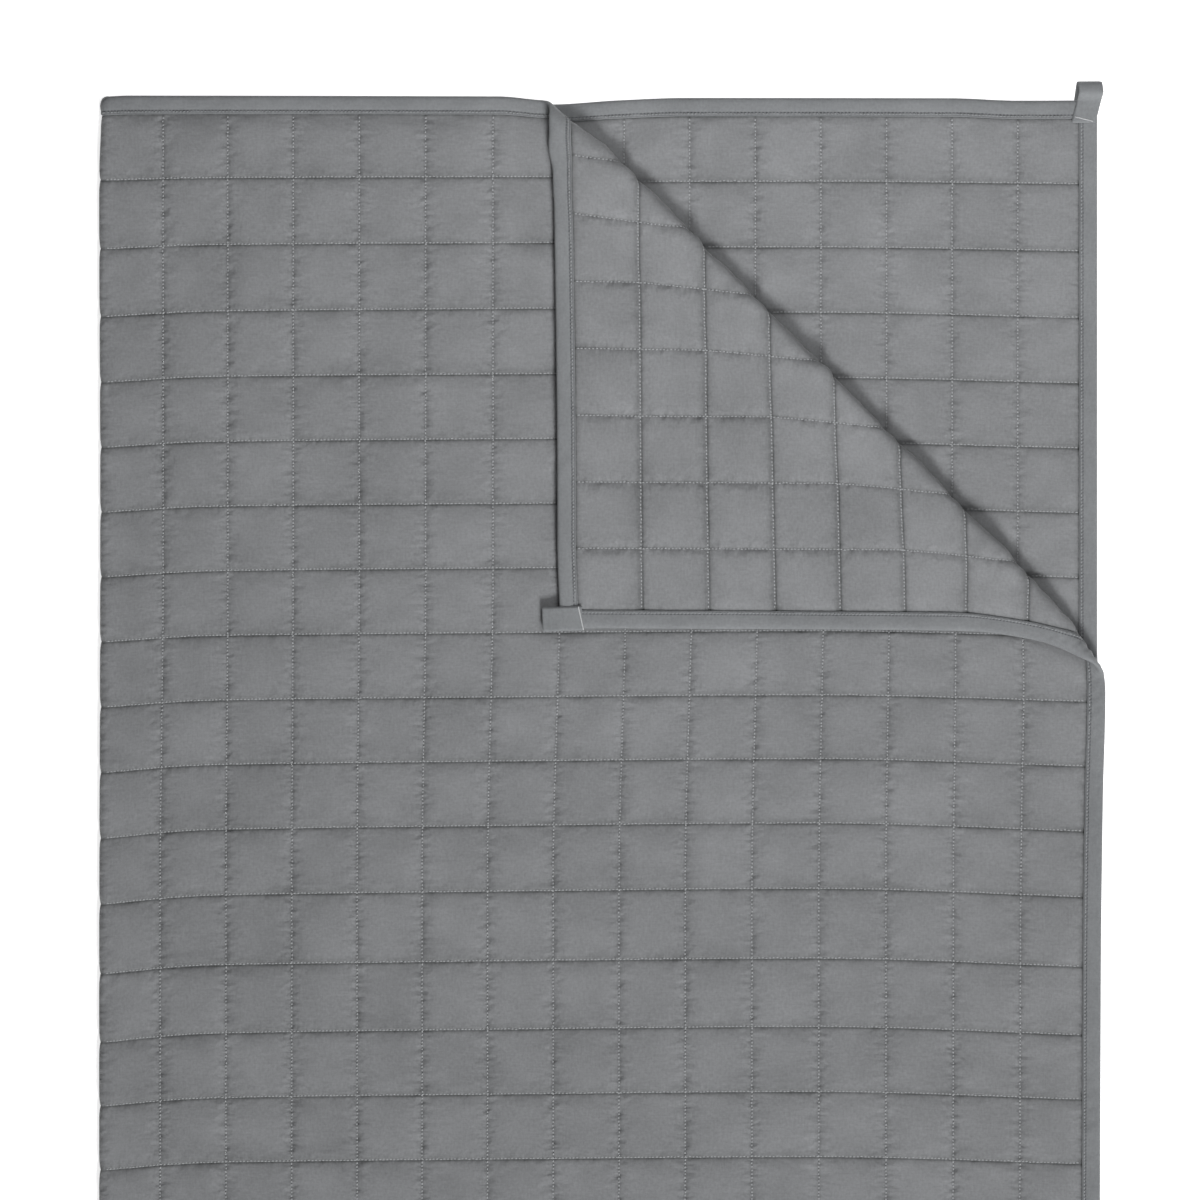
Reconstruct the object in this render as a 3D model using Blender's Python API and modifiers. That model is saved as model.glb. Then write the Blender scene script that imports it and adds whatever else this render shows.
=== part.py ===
"""Weighted blanket, quilted in small square cells, folded in half lengthways with a corner turned back.

Every piece is first made flat, in the blanket's own directions: across its width from the centre seam,
down its length from the head end, and out of its face. place() then lays that flat shape in its folds.
"""

import math
from collections import namedtuple

import bmesh
import bpy
import numpy as np
from mathutils import Vector

# The blanket laid out flat, and its quilting
WIDTH = 1.500
LENGTH = 2.000
COLUMNS = 30
ROWS = 40
EDGE = 0.0105  # from the outermost seam to the binding's outer edge
CROWN_HALF = 0.0025  # half the thickness of a filled cell
SEAM_HALF = 0.0005  # half the thickness along a seam
CROWN_SLOPE = 0.012  # from a seam to the level part of its cell

# The binding, a tape folded over the blanket's edge
TAPE_WIDTH = 0.0135
TAPE_WALL = 0.0005
TAPE_GAP = 0.0007
TAPE_HALF = SEAM_HALF + TAPE_GAP + TAPE_WALL

# The tape of the corner loops
LOOP_WIDTH = 0.0182
LOOP_THICK = 0.0005
LOOP_GAP = 0.0003
LOOP_OFFSET = TAPE_HALF + LOOP_GAP + LOOP_THICK / 2
LOOP_BASE = 0.0165  # from the blanket's edge to the loop's sewn end
NOSE_STEPS = 8
LEG_STEPS = 5

# Heights of the middle of each layer, the lowest one resting on the surface
LAYER_GAP = 0.0005
LOWER_Z = CROWN_HALF
UPPER_Z = LOWER_Z + 2 * CROWN_HALF + LAYER_GAP
FLAP_RISE = 2 * CROWN_HALF + LAYER_GAP
EDGE_DROOP = 0.0017  # how far the upper layer's free edges sink towards the lower layer's
DROOP_START = 0.015  # from the centre fold or the turn to where the edges start to sink
DROOP_RUN = 0.045

# The centre fold, at the left
FOLD_RADIUS = (UPPER_Z - LOWER_Z) / 2
FOLD_ARC = FOLD_RADIUS * math.pi / 2
FOLD_Z = (UPPER_Z + LOWER_Z) / 2
FOLD_X = -0.3692
UPPER_TAKE_UP = 0.0040  # the share of the width that the quilting draws in
LOWER_TAKE_UP = 0.0075
LENGTH_TAKE_UP = 0.0135  # the share of the length
LOWER_SHIFT = 0.0040  # how far the lower layer lies from the head end, away from the fold
LOWER_SHIFT_ACROSS = 0.30
HEAD_Y = 0.9850

# The turned-back corner: a soft roll along a slanting line, then a gentle drop on to the upper layer.
# The cloth gathers a little as it goes round.
TURN_Y = 0.6093
Roll = namedtuple("Roll", "along start length drop gather slip")
ROLL = [
    Roll(along=-0.300, start=0.2297, length=0.024, drop=0.045, gather=0.0028, slip=0.0066),
    Roll(along=-0.286, start=0.2260, length=0.024, drop=0.045, gather=0.0028, slip=0.0075),
    Roll(along=-0.266, start=0.2272, length=0.026, drop=0.045, gather=0.0058, slip=0.0097),
    Roll(along=-0.240, start=0.2304, length=0.027, drop=0.045, gather=0.0093, slip=0.0103),
    Roll(along=-0.180, start=0.2309, length=0.027, drop=0.045, gather=0.0072, slip=0.0073),
    Roll(along=-0.050, start=0.2303, length=0.027, drop=0.045, gather=0.0076, slip=0.0045),
    Roll(along=0.170, start=0.2291, length=0.027, drop=0.045, gather=0.0076, slip=0.0045),
    Roll(along=0.216, start=0.2280, length=0.027, drop=0.045, gather=0.0070, slip=0.0061),
    Roll(along=0.255, start=0.2261, length=0.026, drop=0.045, gather=0.0076, slip=0.0056),
    Roll(along=0.300, start=0.2188, length=0.024, drop=0.045, gather=0.0058, slip=0.0052),
]
# The cuts along the turn, as shares of the roll up to 1 and from there on of its drop
TURN_CUTS = [0.0, 0.14, 0.25, 0.34, 0.42, 0.50, 0.58, 0.66, 0.75, 0.86, 1.0, 1.25, 1.5, 2.0]
FLAP_LEFT = -0.033
FLAP_BOTTOM = 0.587

# The rows sag towards the fold and the far side, more so away from the head end
Sag = namedtuple("Sag", "across fall")
SAG = [
    Sag(across=0.00, fall=0.0120),
    Sag(across=0.09, fall=0.0050),
    Sag(across=0.29, fall=0.0022),
    Sag(across=0.54, fall=0.0000),
    Sag(across=0.75, fall=0.0067),
]
Run = namedtuple("Run", "down share lead")
ROW_RUN = [
    Run(down=0.00, share=0.00, lead=0.0000),
    Run(down=0.08, share=0.35, lead=0.0000),
    Run(down=0.16, share=0.62, lead=0.0000),
    Run(down=0.40, share=0.70, lead=0.0025),
    Run(down=0.59, share=1.00, lead=0.0060),
    Run(down=0.70, share=1.00, lead=0.0004),
    Run(down=0.80, share=0.85, lead=0.0010),
    Run(down=2.00, share=0.35, lead=0.0000),
]

# How far the edges stand in or out of line
HeadEdge = namedtuple("HeadEdge", "across inward")
LOWER_HEAD_EDGE = [
    HeadEdge(across=0.000, inward=0.0000),
    HeadEdge(across=0.060, inward=0.0012),
    HeadEdge(across=0.300, inward=0.0010),
    HeadEdge(across=0.340, inward=0.0020),
    HeadEdge(across=0.390, inward=-0.0010),
    HeadEdge(across=0.440, inward=-0.0028),
    HeadEdge(across=0.640, inward=-0.0026),
    HeadEdge(across=0.690, inward=-0.0008),
    HeadEdge(across=0.750, inward=-0.0010),
]
UPPER_HEAD_EDGE = [
    HeadEdge(across=0.000, inward=0.0004),
    HeadEdge(across=0.020, inward=-0.0004),
    HeadEdge(across=0.300, inward=0.0002),
    HeadEdge(across=0.335, inward=0.0030),
    HeadEdge(across=0.365, inward=0.0010),
    HeadEdge(across=0.400, inward=-0.0026),
    HeadEdge(across=0.680, inward=-0.0026),
    HeadEdge(across=0.750, inward=0.0000),
]
HEAD_EDGE_DEPTH = 0.070

# How far the upper layer's columns are drawn towards the fold, at the head end and further down
Draw = namedtuple("Draw", "across head foot")
COLUMN_DRAW = [
    Draw(across=0.000, head=0.0000, foot=0.0000),
    Draw(across=0.049, head=0.0014, foot=0.0036),
    Draw(across=0.150, head=0.0026, foot=0.0036),
    Draw(across=0.250, head=0.0020, foot=0.0047),
    Draw(across=0.345, head=0.0000, foot=0.0052),
    Draw(across=0.395, head=0.0000, foot=0.0052),
    Draw(across=0.550, head=0.0000, foot=0.0034),
    Draw(across=0.690, head=0.0000, foot=0.0006),
    Draw(across=0.750, head=0.0000, foot=0.0000),
]
DRAW_START = 0.36  # down from the head end
DRAW_END = 0.60

SideEdge = namedtuple("SideEdge", "down outward")
UPPER_SIDE_EDGE = [
    SideEdge(down=0.00, outward=0.0000),
    SideEdge(down=0.36, outward=0.0000),
    SideEdge(down=0.45, outward=0.0034),
    SideEdge(down=0.53, outward=0.0016),
    SideEdge(down=0.67, outward=0.0000),
    SideEdge(down=1.30, outward=-0.0015),
    SideEdge(down=2.00, outward=0.0005),
]
SIDE_EDGE_DEPTH = 0.150
FoldEdge = namedtuple("FoldEdge", "down inward")
FOLD_EDGE = [
    FoldEdge(down=0.000, inward=0.0018),
    FoldEdge(down=0.014, inward=0.0026),
    FoldEdge(down=0.060, inward=0.0000),
    FoldEdge(down=0.300, inward=0.0008),
    FoldEdge(down=0.700, inward=0.0000),
    FoldEdge(down=1.400, inward=0.0012),
    FoldEdge(down=2.000, inward=0.0004),
]
FOLD_EDGE_DEPTH = 0.060

# The corner loops: one stands open at the lower layer's corner, one lies flat at the flap's corner
Loop = namedtuple("Loop", "name centre reach front back neck lean")
LOOPS = [
    Loop(
        name="corner_loop_open",
        centre=-0.7395,
        reach=0.0140,
        front=-0.0056,
        back=LOOP_OFFSET,
        neck=0.006,
        lean=-0.0060,
    ),
    Loop(
        name="corner_loop_flat",
        centre=0.7425,
        reach=0.0130,
        front=-0.0008,
        back=0.0008,
        neck=0.009,
        lean=0.0010,
    ),
]

SECTION_STEPS = 96
HALVINGS = 24
SMALL = 1e-5
LEVEL_NORMAL = 0.5
SHADE_ANGLE = math.radians(50)

CLOTH_COLOUR = (0.196, 0.205, 0.212, 1.0)
BINDING_COLOUR = (0.185, 0.194, 0.201, 1.0)
LOOP_COLOUR = (0.178, 0.187, 0.194, 1.0)
CLOTH_ROUGHNESS = 0.82
TAPE_ROUGHNESS = 0.74


def clear_scene():
    for old in list(bpy.data.objects):
        bpy.data.objects.remove(old, do_unlink=True)


def cloth_material(name, colour, roughness):
    material = bpy.data.materials.new(name)
    material.use_nodes = True
    shader = material.node_tree.nodes["Principled BSDF"]
    shader.inputs["Base Color"].default_value = colour
    shader.inputs["Roughness"].default_value = roughness
    shader.inputs["Metallic"].default_value = 0.0
    return material


# Where a flat point lies once the blanket is folded


def eased(at, start, end):
    """0 up to start, 1 from end on, with a smooth rise between them."""
    share = np.clip((at - start) / (end - start), 0, 1)
    return share * share * (3 - 2 * share)


def slopes_through(places, values):
    """A slope at each place that keeps a curve through the values from swinging past them."""
    rises = np.diff(values) / np.diff(places)
    before, after = rises[:-1], rises[1:]
    same_way = before * after > 0
    middle = np.where(same_way, 2 * before * after / np.where(same_way, before + after, 1), 0)
    return np.concatenate([rises[:1], middle, rises[-1:]])


def through(at, rows, place_name, value_name):
    """The named value at a place, on a smooth curve through the rows of a table."""
    places = np.array([getattr(row, place_name) for row in rows])
    values = np.array([getattr(row, value_name) for row in rows])
    slopes = slopes_through(places, values)
    at = np.clip(at, places[0], places[-1])
    row = np.clip(np.searchsorted(places, at) - 1, 0, len(places) - 2)
    step = places[row + 1] - places[row]
    share = (at - places[row]) / step
    rise = share * share * (3 - 2 * share)
    swing = slopes[row] * share * (1 - share) ** 2 - slopes[row + 1] * share**2 * (1 - share)
    return values[row] + (values[row + 1] - values[row]) * rise + step * swing


def edge_offsets(across, down):
    """How far a point is drawn sideways and towards the head end by the uneven edges and the sagging rows."""
    out = np.abs(across)
    upper = across > 0
    fall = through(out, SAG, "across", "fall") * through(down, ROW_RUN, "down", "share")
    fall = fall - through(down, ROW_RUN, "down", "lead")
    fall = fall + np.where(upper, 0, LOWER_SHIFT * eased(out, 0, LOWER_SHIFT_ACROSS))
    lower_head = through(out, LOWER_HEAD_EDGE, "across", "inward")
    upper_head = through(out, UPPER_HEAD_EDGE, "across", "inward")
    head = np.where(upper, upper_head, lower_head) * (1 - eased(down, 0, HEAD_EDGE_DEPTH))
    near_side = eased(out, WIDTH / 2 - SIDE_EDGE_DEPTH, WIDTH / 2)
    side = through(down, UPPER_SIDE_EDGE, "down", "outward") * near_side
    near_fold = 1 - eased(out, 0, FOLD_EDGE_DEPTH)
    fold = through(down, FOLD_EDGE, "down", "inward") * near_fold
    drawn = through(out, COLUMN_DRAW, "across", "head")
    drawn = drawn + (through(out, COLUMN_DRAW, "across", "foot") - drawn) * eased(down, DRAW_START, DRAW_END)
    return fold + np.where(upper, side - drawn, 0), -fall - head


def laid_flat(across, down):
    """Where a point lies, seen from above, before the corner is turned back."""
    past_fold = np.maximum(np.abs(across) - FOLD_ARC, 0)
    take_up = np.where(across > 0, UPPER_TAKE_UP, LOWER_TAKE_UP)
    sideways, headwards = edge_offsets(across, down)
    bend = np.clip(across / FOLD_RADIUS, -math.pi / 2, math.pi / 2)
    x = FOLD_X - FOLD_RADIUS * np.cos(bend) + past_fold * (1 - take_up) + sideways
    return x, HEAD_Y - down * (1 - LENGTH_TAKE_UP) + headwards, bend


def to_turn(x, y):
    """How far a point is towards the corner, and how far along the turn."""
    return (x + y - TURN_Y) / math.sqrt(2), (x - y + TURN_Y) / math.sqrt(2)


def from_turn(towards, along):
    return (towards + along) / math.sqrt(2), TURN_Y + (towards - along) / math.sqrt(2)


def past_turn(across, down):
    """How far a point is past the line where the roll starts."""
    x, y, _ = laid_flat(across, down)
    towards, along = to_turn(x, y)
    return towards - through(along, ROLL, "along", "start")


def gathered(past, along):
    """How far along the turn's cross-section a point lies, once the gathers have taken up some cloth."""
    reach = through(along, ROLL, "along", "length") + through(along, ROLL, "along", "drop")
    gather = through(along, ROLL, "along", "gather")
    return np.where(past < reach + gather, past * reach / (reach + gather), past - gather)


def share_of(distance, length, drop):
    """A distance along the turn's cross-section as a share of the roll up to 1, and past it of its drop."""
    return np.where(distance < length, distance / length, 1 + (distance - length) / drop)


def turn_share(across, down):
    x, y, _ = laid_flat(across, down)
    _, along = to_turn(x, y)
    distance = gathered(past_turn(across, down), along)
    length = through(along, ROLL, "along", "length")
    return share_of(distance, length, through(along, ROLL, "along", "drop"))


def section(distance, length, drop, lean):
    """A point of the roll's cross-section at a distance along the cloth: forward, up and the cloth's slope."""
    steps = np.linspace(0, 1, SECTION_STEPS)[:, None] * distance
    slope = (math.pi + lean) * eased(steps, 0, length) - lean * eased(steps, length, length + drop)
    middles = (slope[1:] + slope[:-1]) / 2
    stride = distance / (SECTION_STEPS - 1)
    return np.cos(middles).sum(0) * stride, np.sin(middles).sum(0) * stride, slope[-1]


def lean_of(length, drop):
    """How much further than flat the roll turns, so that its drop ends at the flap's height."""
    low, high = np.zeros_like(length), np.full_like(length, math.pi / 2)
    for _ in range(HALVINGS):
        middle = (low + high) / 2
        too_high = section(length + drop, length, drop, middle)[1] > FLAP_RISE
        low, high = np.where(too_high, middle, low), np.where(too_high, high, middle)
    return (low + high) / 2


def rolled(reached, length, drop, out):
    """A point of the turn, forward and up, on the chord between the two cuts that it lies between."""
    lean = lean_of(length, drop)
    cuts = np.array([*TURN_CUTS, TURN_CUTS[-1] + 1])
    share = share_of(reached, length, drop)
    step = np.clip(np.searchsorted(cuts, share, side="right") - 1, 0, len(TURN_CUTS) - 1)
    ends = []
    for cut in (cuts[step], cuts[step + 1]):
        distance = np.minimum(cut, 1) * length + np.maximum(cut - 1, 0) * drop
        forward, up, slope = section(distance, length, drop, lean)
        ends.append((distance, forward - np.sin(slope) * out, up + np.cos(slope) * out))
    (near, near_forward, near_up), (far, far_forward, far_up) = ends
    between = (reached - near) / (far - near)
    forward = near_forward + (far_forward - near_forward) * between
    return forward, near_up + (far_up - near_up) * between


def place(flat):
    """Flat points (across, down, out) as points of the folded blanket."""
    across, down, out = np.asarray(flat, float).T
    x, y, bend = laid_flat(across, down)
    z = FOLD_Z + FOLD_RADIUS * np.sin(bend)
    normal = np.stack([-np.cos(bend), np.zeros_like(bend), np.sin(bend)], axis=1)
    towards, along = to_turn(x, y)
    start = through(along, ROLL, "along", "start")
    past = towards - start

    free = np.minimum(np.minimum(down, LENGTH - down), WIDTH / 2 - np.abs(across))
    droop = 1 - eased(free, TAPE_WIDTH, TAPE_WIDTH + CROWN_SLOPE)
    droop = droop * eased(across, DROOP_START, DROOP_START + DROOP_RUN)
    z = z - EDGE_DROOP * droop * (1 - eased(past, -DROOP_START - DROOP_RUN, -DROOP_START))
    points = np.stack([x, y, z], axis=1) + normal * out[:, None]

    turned = (across > FOLD_ARC) & (past > 0)
    if turned.any():
        past, along = past[turned], along[turned]
        length = through(along, ROLL, "along", "length")
        drop = through(along, ROLL, "along", "drop")
        forward, up = rolled(gathered(past, along), length, drop, out[turned])
        gather = through(along, ROLL, "along", "gather")
        slip = through(along, ROLL, "along", "slip") * eased(past, 0, length + drop + gather)
        x, y = from_turn(start[turned] + forward, along - slip)
        points[turned] = np.stack([x, y, z[turned] + up], axis=1)
    return points


# Flat shapes


def seams_across(count, size):
    """The places of the inner seams along a side of this size."""
    pitch = (size - 2 * EDGE) / count
    return [EDGE + pitch * number for number in range(1, count)]


def column_lines(*borders):
    """Lines down the length: the borders, the seams, and those that the centre fold bends at."""
    lines = [seam - WIDTH / 2 for seam in seams_across(COLUMNS, WIDTH)]
    lines += [side * FOLD_ARC * share for side in (-1, 1) for share in (0.5, 1)]
    lines += [side * (WIDTH / 2 - border) for side in (-1, 1) for border in borders]
    return sorted(lines)


def row_lines(*borders):
    """Lines across the width: the borders and the seams."""
    ends = list(borders) + [LENGTH - border for border in borders]
    return sorted(seams_across(ROWS, LENGTH) + ends)


def grid_on(columns, rows):
    """A flat grid with its lines at the given places."""
    flat = bmesh.new()
    bmesh.ops.create_grid(flat, x_segments=len(columns) - 1, y_segments=len(rows) - 1, size=1)
    for vertex in flat.verts:
        column = round((vertex.co.x + 1) / 2 * (len(columns) - 1))
        row = round((vertex.co.y + 1) / 2 * (len(rows) - 1))
        vertex.co = (columns[column], rows[row], 0)
    return flat


def thicken(flat, half):
    """Gives a flat mesh two faces, half above and half below."""
    bmesh.ops.solidify(flat, geom=flat.faces[:], thickness=2 * half)
    heights = [vertex.co.z for vertex in flat.verts]
    middle = (min(heights) + max(heights)) / 2
    for vertex in flat.verts:
        vertex.co.z = half if vertex.co.z > middle else -half
    bmesh.ops.recalc_face_normals(flat, faces=flat.faces[:])


def corners(face):
    return np.array([vertex.co[:2] for vertex in face.verts])


def is_level(face):
    return abs(face.normal.z) > LEVEL_NORMAL


def is_cell(face):
    """A face inside the quilting, not in the centre fold and not under the binding."""
    middle = face.calc_center_median()
    inside = TAPE_WIDTH < middle.y < LENGTH - TAPE_WIDTH and abs(middle.x) < WIDTH / 2 - TAPE_WIDTH
    return inside and abs(middle.x) > FOLD_ARC and is_level(face)


def is_shown(face, past):
    """Whether a cell can be seen on the folded blanket, or is bent with the turn."""
    across, down = corners(face).T
    if across.mean() < 0:
        return face.normal.z < 0 and bool(np.any(past > CROWN_SLOPE))
    if face.normal.z < 0:
        return bool(np.any(past > 0))
    x, y, _ = laid_flat(across, down)
    under_flap = (x > FLAP_LEFT) & (y > FLAP_BOTTOM)
    return not np.all((past > 0) | under_flap)


def raise_faces(faces, outer):
    for vertex in {vertex for face in faces for vertex in face.verts}:
        vertex.co.z = CROWN_HALF if outer else -CROWN_HALF


def quilt_cells(flat):
    """Raises each cell that shows to its own crown, and each hidden stretch to one level."""
    shown = []
    hidden = {}
    for face in filter(is_cell, flat.faces):
        past = past_turn(*corners(face).T)
        outer = face.normal.z > 0
        if is_shown(face, past):
            shown.append((face, outer))
        else:
            upper = face.calc_center_median().x > 0
            hidden.setdefault((upper, outer), []).append((face, bool(np.any(past > 0))))
    bmesh.ops.inset_individual(
        flat, faces=[face for face, _ in shown], thickness=CROWN_SLOPE, use_even_offset=True
    )
    for face, outer in shown:
        raise_faces([face], outer)
    for (_, outer), stretch in hidden.items():
        faces = [face for face, _ in stretch]
        bmesh.ops.inset_region(flat, faces=faces, thickness=CROWN_SLOPE, use_even_offset=True)
        raise_faces(faces, outer)
        level = [face for face, turned in stretch if not turned]
        bmesh.ops.dissolve_faces(flat, faces=level, use_verts=True)


def cut_for_turn(flat):
    """Cuts the upper layer's faces past the turn along it, so that they can bend.

    The points stand at their share of the turn while the cuts are made, and then go back.
    """
    flat_place = flat.verts.layers.float_vector.new("flat place")
    across, down, _ = np.array([vertex.co for vertex in flat.verts]).T
    for vertex, share in zip(flat.verts, turn_share(across, down)):
        vertex[flat_place] = vertex.co
        vertex.co.x = share
    for cut in TURN_CUTS:
        near = [
            face
            for face in flat.faces
            if all(vertex[flat_place].x > FOLD_ARC for vertex in face.verts)
            and any(vertex.co.x > -SMALL for vertex in face.verts)
        ]
        edges = {edge for face in near for edge in face.edges}
        vertices = {vertex for face in near for vertex in face.verts}
        bmesh.ops.bisect_plane(
            flat,
            geom=[*vertices, *edges, *near],
            dist=SMALL,
            plane_co=(cut, 0, 0),
            plane_no=(1, 0, 0),
        )
    for vertex in flat.verts:
        vertex.co = vertex[flat_place]


def quilt_flat():
    """The quilted body, thin where the binding holds it."""
    held = TAPE_WIDTH + TAPE_GAP
    rim = TAPE_WALL + TAPE_GAP
    flat = grid_on(column_lines(rim, held), row_lines(rim, held))
    thicken(flat, SEAM_HALF)
    quilt_cells(flat)
    cut_for_turn(flat)
    return flat


def binding_flat():
    """A frame round the blanket, with a slot in its inner side for the quilted body."""
    flat = grid_on(column_lines(0, TAPE_WIDTH), row_lines(0, TAPE_WIDTH))
    middle = [
        face
        for face in flat.faces
        if abs(face.calc_center_median().x) < WIDTH / 2 - TAPE_WIDTH
        and TAPE_WIDTH < face.calc_center_median().y < LENGTH - TAPE_WIDTH
    ]
    bmesh.ops.delete(flat, geom=middle, context="FACES")
    thicken(flat, TAPE_HALF)
    mouth = [
        face
        for face in flat.faces
        if not is_level(face)
        and abs(face.calc_center_median().x) < WIDTH / 2 - SMALL
        and SMALL < face.calc_center_median().y < LENGTH - SMALL
    ]
    bmesh.ops.inset_region(flat, faces=mouth, thickness=TAPE_WALL, use_even_offset=True)
    made = bmesh.ops.extrude_face_region(flat, geom=mouth)["geom"]
    bmesh.ops.delete(flat, geom=mouth, context="FACES")
    for vertex in [part for part in made if isinstance(part, bmesh.types.BMVert)]:
        across, down, out = vertex.co
        if abs(across) > WIDTH / 2 - TAPE_WIDTH - SMALL:
            across = math.copysign(WIDTH / 2 - TAPE_WALL, across)
        if down < TAPE_WIDTH + SMALL:
            down = TAPE_WALL
        if down > LENGTH - TAPE_WIDTH - SMALL:
            down = LENGTH - TAPE_WALL
        vertex.co = (across, down, out)
    cut_for_turn(flat)
    return flat


def loop_path(loop):
    """The loop's middle line: (down, out, share of the lean), from its front sewn end round to its back one."""
    height = (loop.back - loop.front) / 2
    nose = min(height * 2, loop.reach - loop.neck)
    nose_start = nose - loop.reach
    path = []
    for step in range(LEG_STEPS):
        share = step / LEG_STEPS
        down = LOOP_BASE + (nose_start - LOOP_BASE) * share
        rise = eased(-down, -LOOP_GAP, -nose_start)
        out = -LOOP_OFFSET + (loop.front + LOOP_OFFSET) * rise
        path.append((down, out, share))
    for step in range(NOSE_STEPS + 1):
        angle = math.pi * step / NOSE_STEPS
        down = nose_start - nose * math.sin(angle)
        out = (loop.front + loop.back) / 2 - height * math.cos(angle)
        path.append((down, out, 1 - step / NOSE_STEPS / 2))
    for step in range(1, LEG_STEPS + 1):
        share = step / LEG_STEPS
        down = nose_start + (LOOP_BASE - nose_start) * share
        rise = eased(-down, -LOOP_GAP, -nose_start)
        out = LOOP_OFFSET + (loop.back - LOOP_OFFSET) * rise
        path.append((down, out, (1 - share) / 2))
    return path


def loop_flat(loop):
    """A tape along the loop's path, with no thickness yet."""
    flat = bmesh.new()
    ends = [bmesh.ops.create_vert(flat, co=(side, 0, 0))["vert"][0] for side in (-1, 1)]
    edge = bmesh.ops.contextual_create(flat, geom=ends)["edges"][0]
    for number, (down, out, share) in enumerate(loop_path(loop)):
        if number:
            made = bmesh.ops.extrude_edge_only(flat, edges=[edge])["geom"]
            edge = next(part for part in made if isinstance(part, bmesh.types.BMEdge))
            ends = sorted(edge.verts, key=lambda vertex: vertex.co.x)
        for vertex, side in zip(ends, (-1, 1)):
            across = loop.centre + loop.lean * share + side * LOOP_WIDTH / 2
            vertex.co = (across, down, out)
    bmesh.ops.recalc_face_normals(flat, faces=flat.faces[:])
    return flat


# Objects


def folded_object(name, flat, reference, material, collection, root):
    """Lays a flat mesh in the folds and makes it an object placed at its reference point."""
    origin = Vector(place([reference])[0])
    points = place([vertex.co[:] for vertex in flat.verts])
    for vertex, point in zip(flat.verts, points):
        vertex.co = Vector(point) - origin
    bmesh.ops.recalc_face_normals(flat, faces=flat.faces[:])
    mesh = bpy.data.meshes.new(name)
    flat.to_mesh(mesh)
    flat.free()
    mesh.materials.append(material)
    mesh.shade_smooth()
    mesh.set_sharp_from_angle(angle=SHADE_ANGLE)
    piece = bpy.data.objects.new(name, mesh)
    piece.location = origin
    piece.parent = root
    collection.objects.link(piece)
    return piece


def add_thickness(piece, thickness):
    wall = piece.modifiers.new("Tape thickness", "SOLIDIFY")
    wall.thickness = thickness
    wall.offset = 0
    wall.use_even_offset = True


def build():
    clear_scene()
    collection = bpy.data.collections.new("weighted_blanket")
    bpy.context.scene.collection.children.link(collection)
    root = bpy.data.objects.new("blanket_root", None)
    collection.objects.link(root)
    cloth = cloth_material("Quilted cloth", CLOTH_COLOUR, CLOTH_ROUGHNESS)
    tape = cloth_material("Binding tape", BINDING_COLOUR, TAPE_ROUGHNESS)
    loop_tape = cloth_material("Loop tape", LOOP_COLOUR, TAPE_ROUGHNESS)
    head_corner = (-WIDTH / 2, 0, 0)
    folded_object("quilt", quilt_flat(), head_corner, cloth, collection, root)
    folded_object("binding", binding_flat(), head_corner, tape, collection, root)
    for loop in LOOPS:
        sewn_end = (loop.centre, LOOP_BASE, 0)
        piece = folded_object(loop.name, loop_flat(loop), sewn_end, loop_tape, collection, root)
        add_thickness(piece, LOOP_THICK)


build()
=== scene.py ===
"""Looks of the folded weighted blanket: its quilted cloth, binding, corner loops and sewing.

Each piece is made flat first, in the blanket's own directions: across its width from the centre
seam, down its length from the head end, and out of its face. lay() then folds it as the frame's
parts are folded. All sizes are in metres.
"""

import math
from collections import namedtuple

import bmesh
import bpy
import numpy as np
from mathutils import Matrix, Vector


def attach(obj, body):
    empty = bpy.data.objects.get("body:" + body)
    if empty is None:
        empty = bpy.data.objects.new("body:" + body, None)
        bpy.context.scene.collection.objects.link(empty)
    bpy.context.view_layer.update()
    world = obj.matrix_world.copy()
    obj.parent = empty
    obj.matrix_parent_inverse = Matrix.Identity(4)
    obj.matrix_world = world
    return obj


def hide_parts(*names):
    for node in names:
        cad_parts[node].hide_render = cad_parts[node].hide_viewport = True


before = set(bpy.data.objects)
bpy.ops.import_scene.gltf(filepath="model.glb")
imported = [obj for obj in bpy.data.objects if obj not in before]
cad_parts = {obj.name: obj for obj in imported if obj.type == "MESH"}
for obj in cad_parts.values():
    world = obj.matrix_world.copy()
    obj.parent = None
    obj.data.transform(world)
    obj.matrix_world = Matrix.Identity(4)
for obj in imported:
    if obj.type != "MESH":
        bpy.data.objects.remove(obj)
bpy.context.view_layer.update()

# The blanket laid out flat, its quilting and its binding
WIDTH = 1.500
LENGTH = 2.000
COLUMNS = 30
ROWS = 40
EDGE = 0.0105
CROWN_HALF = 0.0025
SEAM_HALF = 0.0005
TAPE_WIDTH = 0.0135
TAPE_WALL = 0.0005
TAPE_GAP = 0.0007
TAPE_HALF = SEAM_HALF + TAPE_GAP + TAPE_WALL
COLUMN_PITCH = (WIDTH - 2 * EDGE) / COLUMNS
ROW_PITCH = (LENGTH - 2 * EDGE) / ROWS

# Heights, the centre fold and the take-up of the quilting
LAYER_GAP = 0.0005
LOWER_Z = CROWN_HALF
UPPER_Z = LOWER_Z + 2 * CROWN_HALF + LAYER_GAP
FLAP_RISE = 2 * CROWN_HALF + LAYER_GAP
EDGE_DROOP = 0.0017
DROOP_START = 0.015
DROOP_RUN = 0.045
DROOP_SLOPE = 0.012
FOLD_RADIUS = (UPPER_Z - LOWER_Z) / 2
FOLD_ARC = FOLD_RADIUS * math.pi / 2
FOLD_Z = (UPPER_Z + LOWER_Z) / 2
FOLD_X = -0.3692
UPPER_TAKE_UP = 0.0040
LOWER_TAKE_UP = 0.0075
LENGTH_TAKE_UP = 0.0135
LOWER_SHIFT = 0.0040
LOWER_SHIFT_ACROSS = 0.30
HEAD_Y = 0.9850

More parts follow.
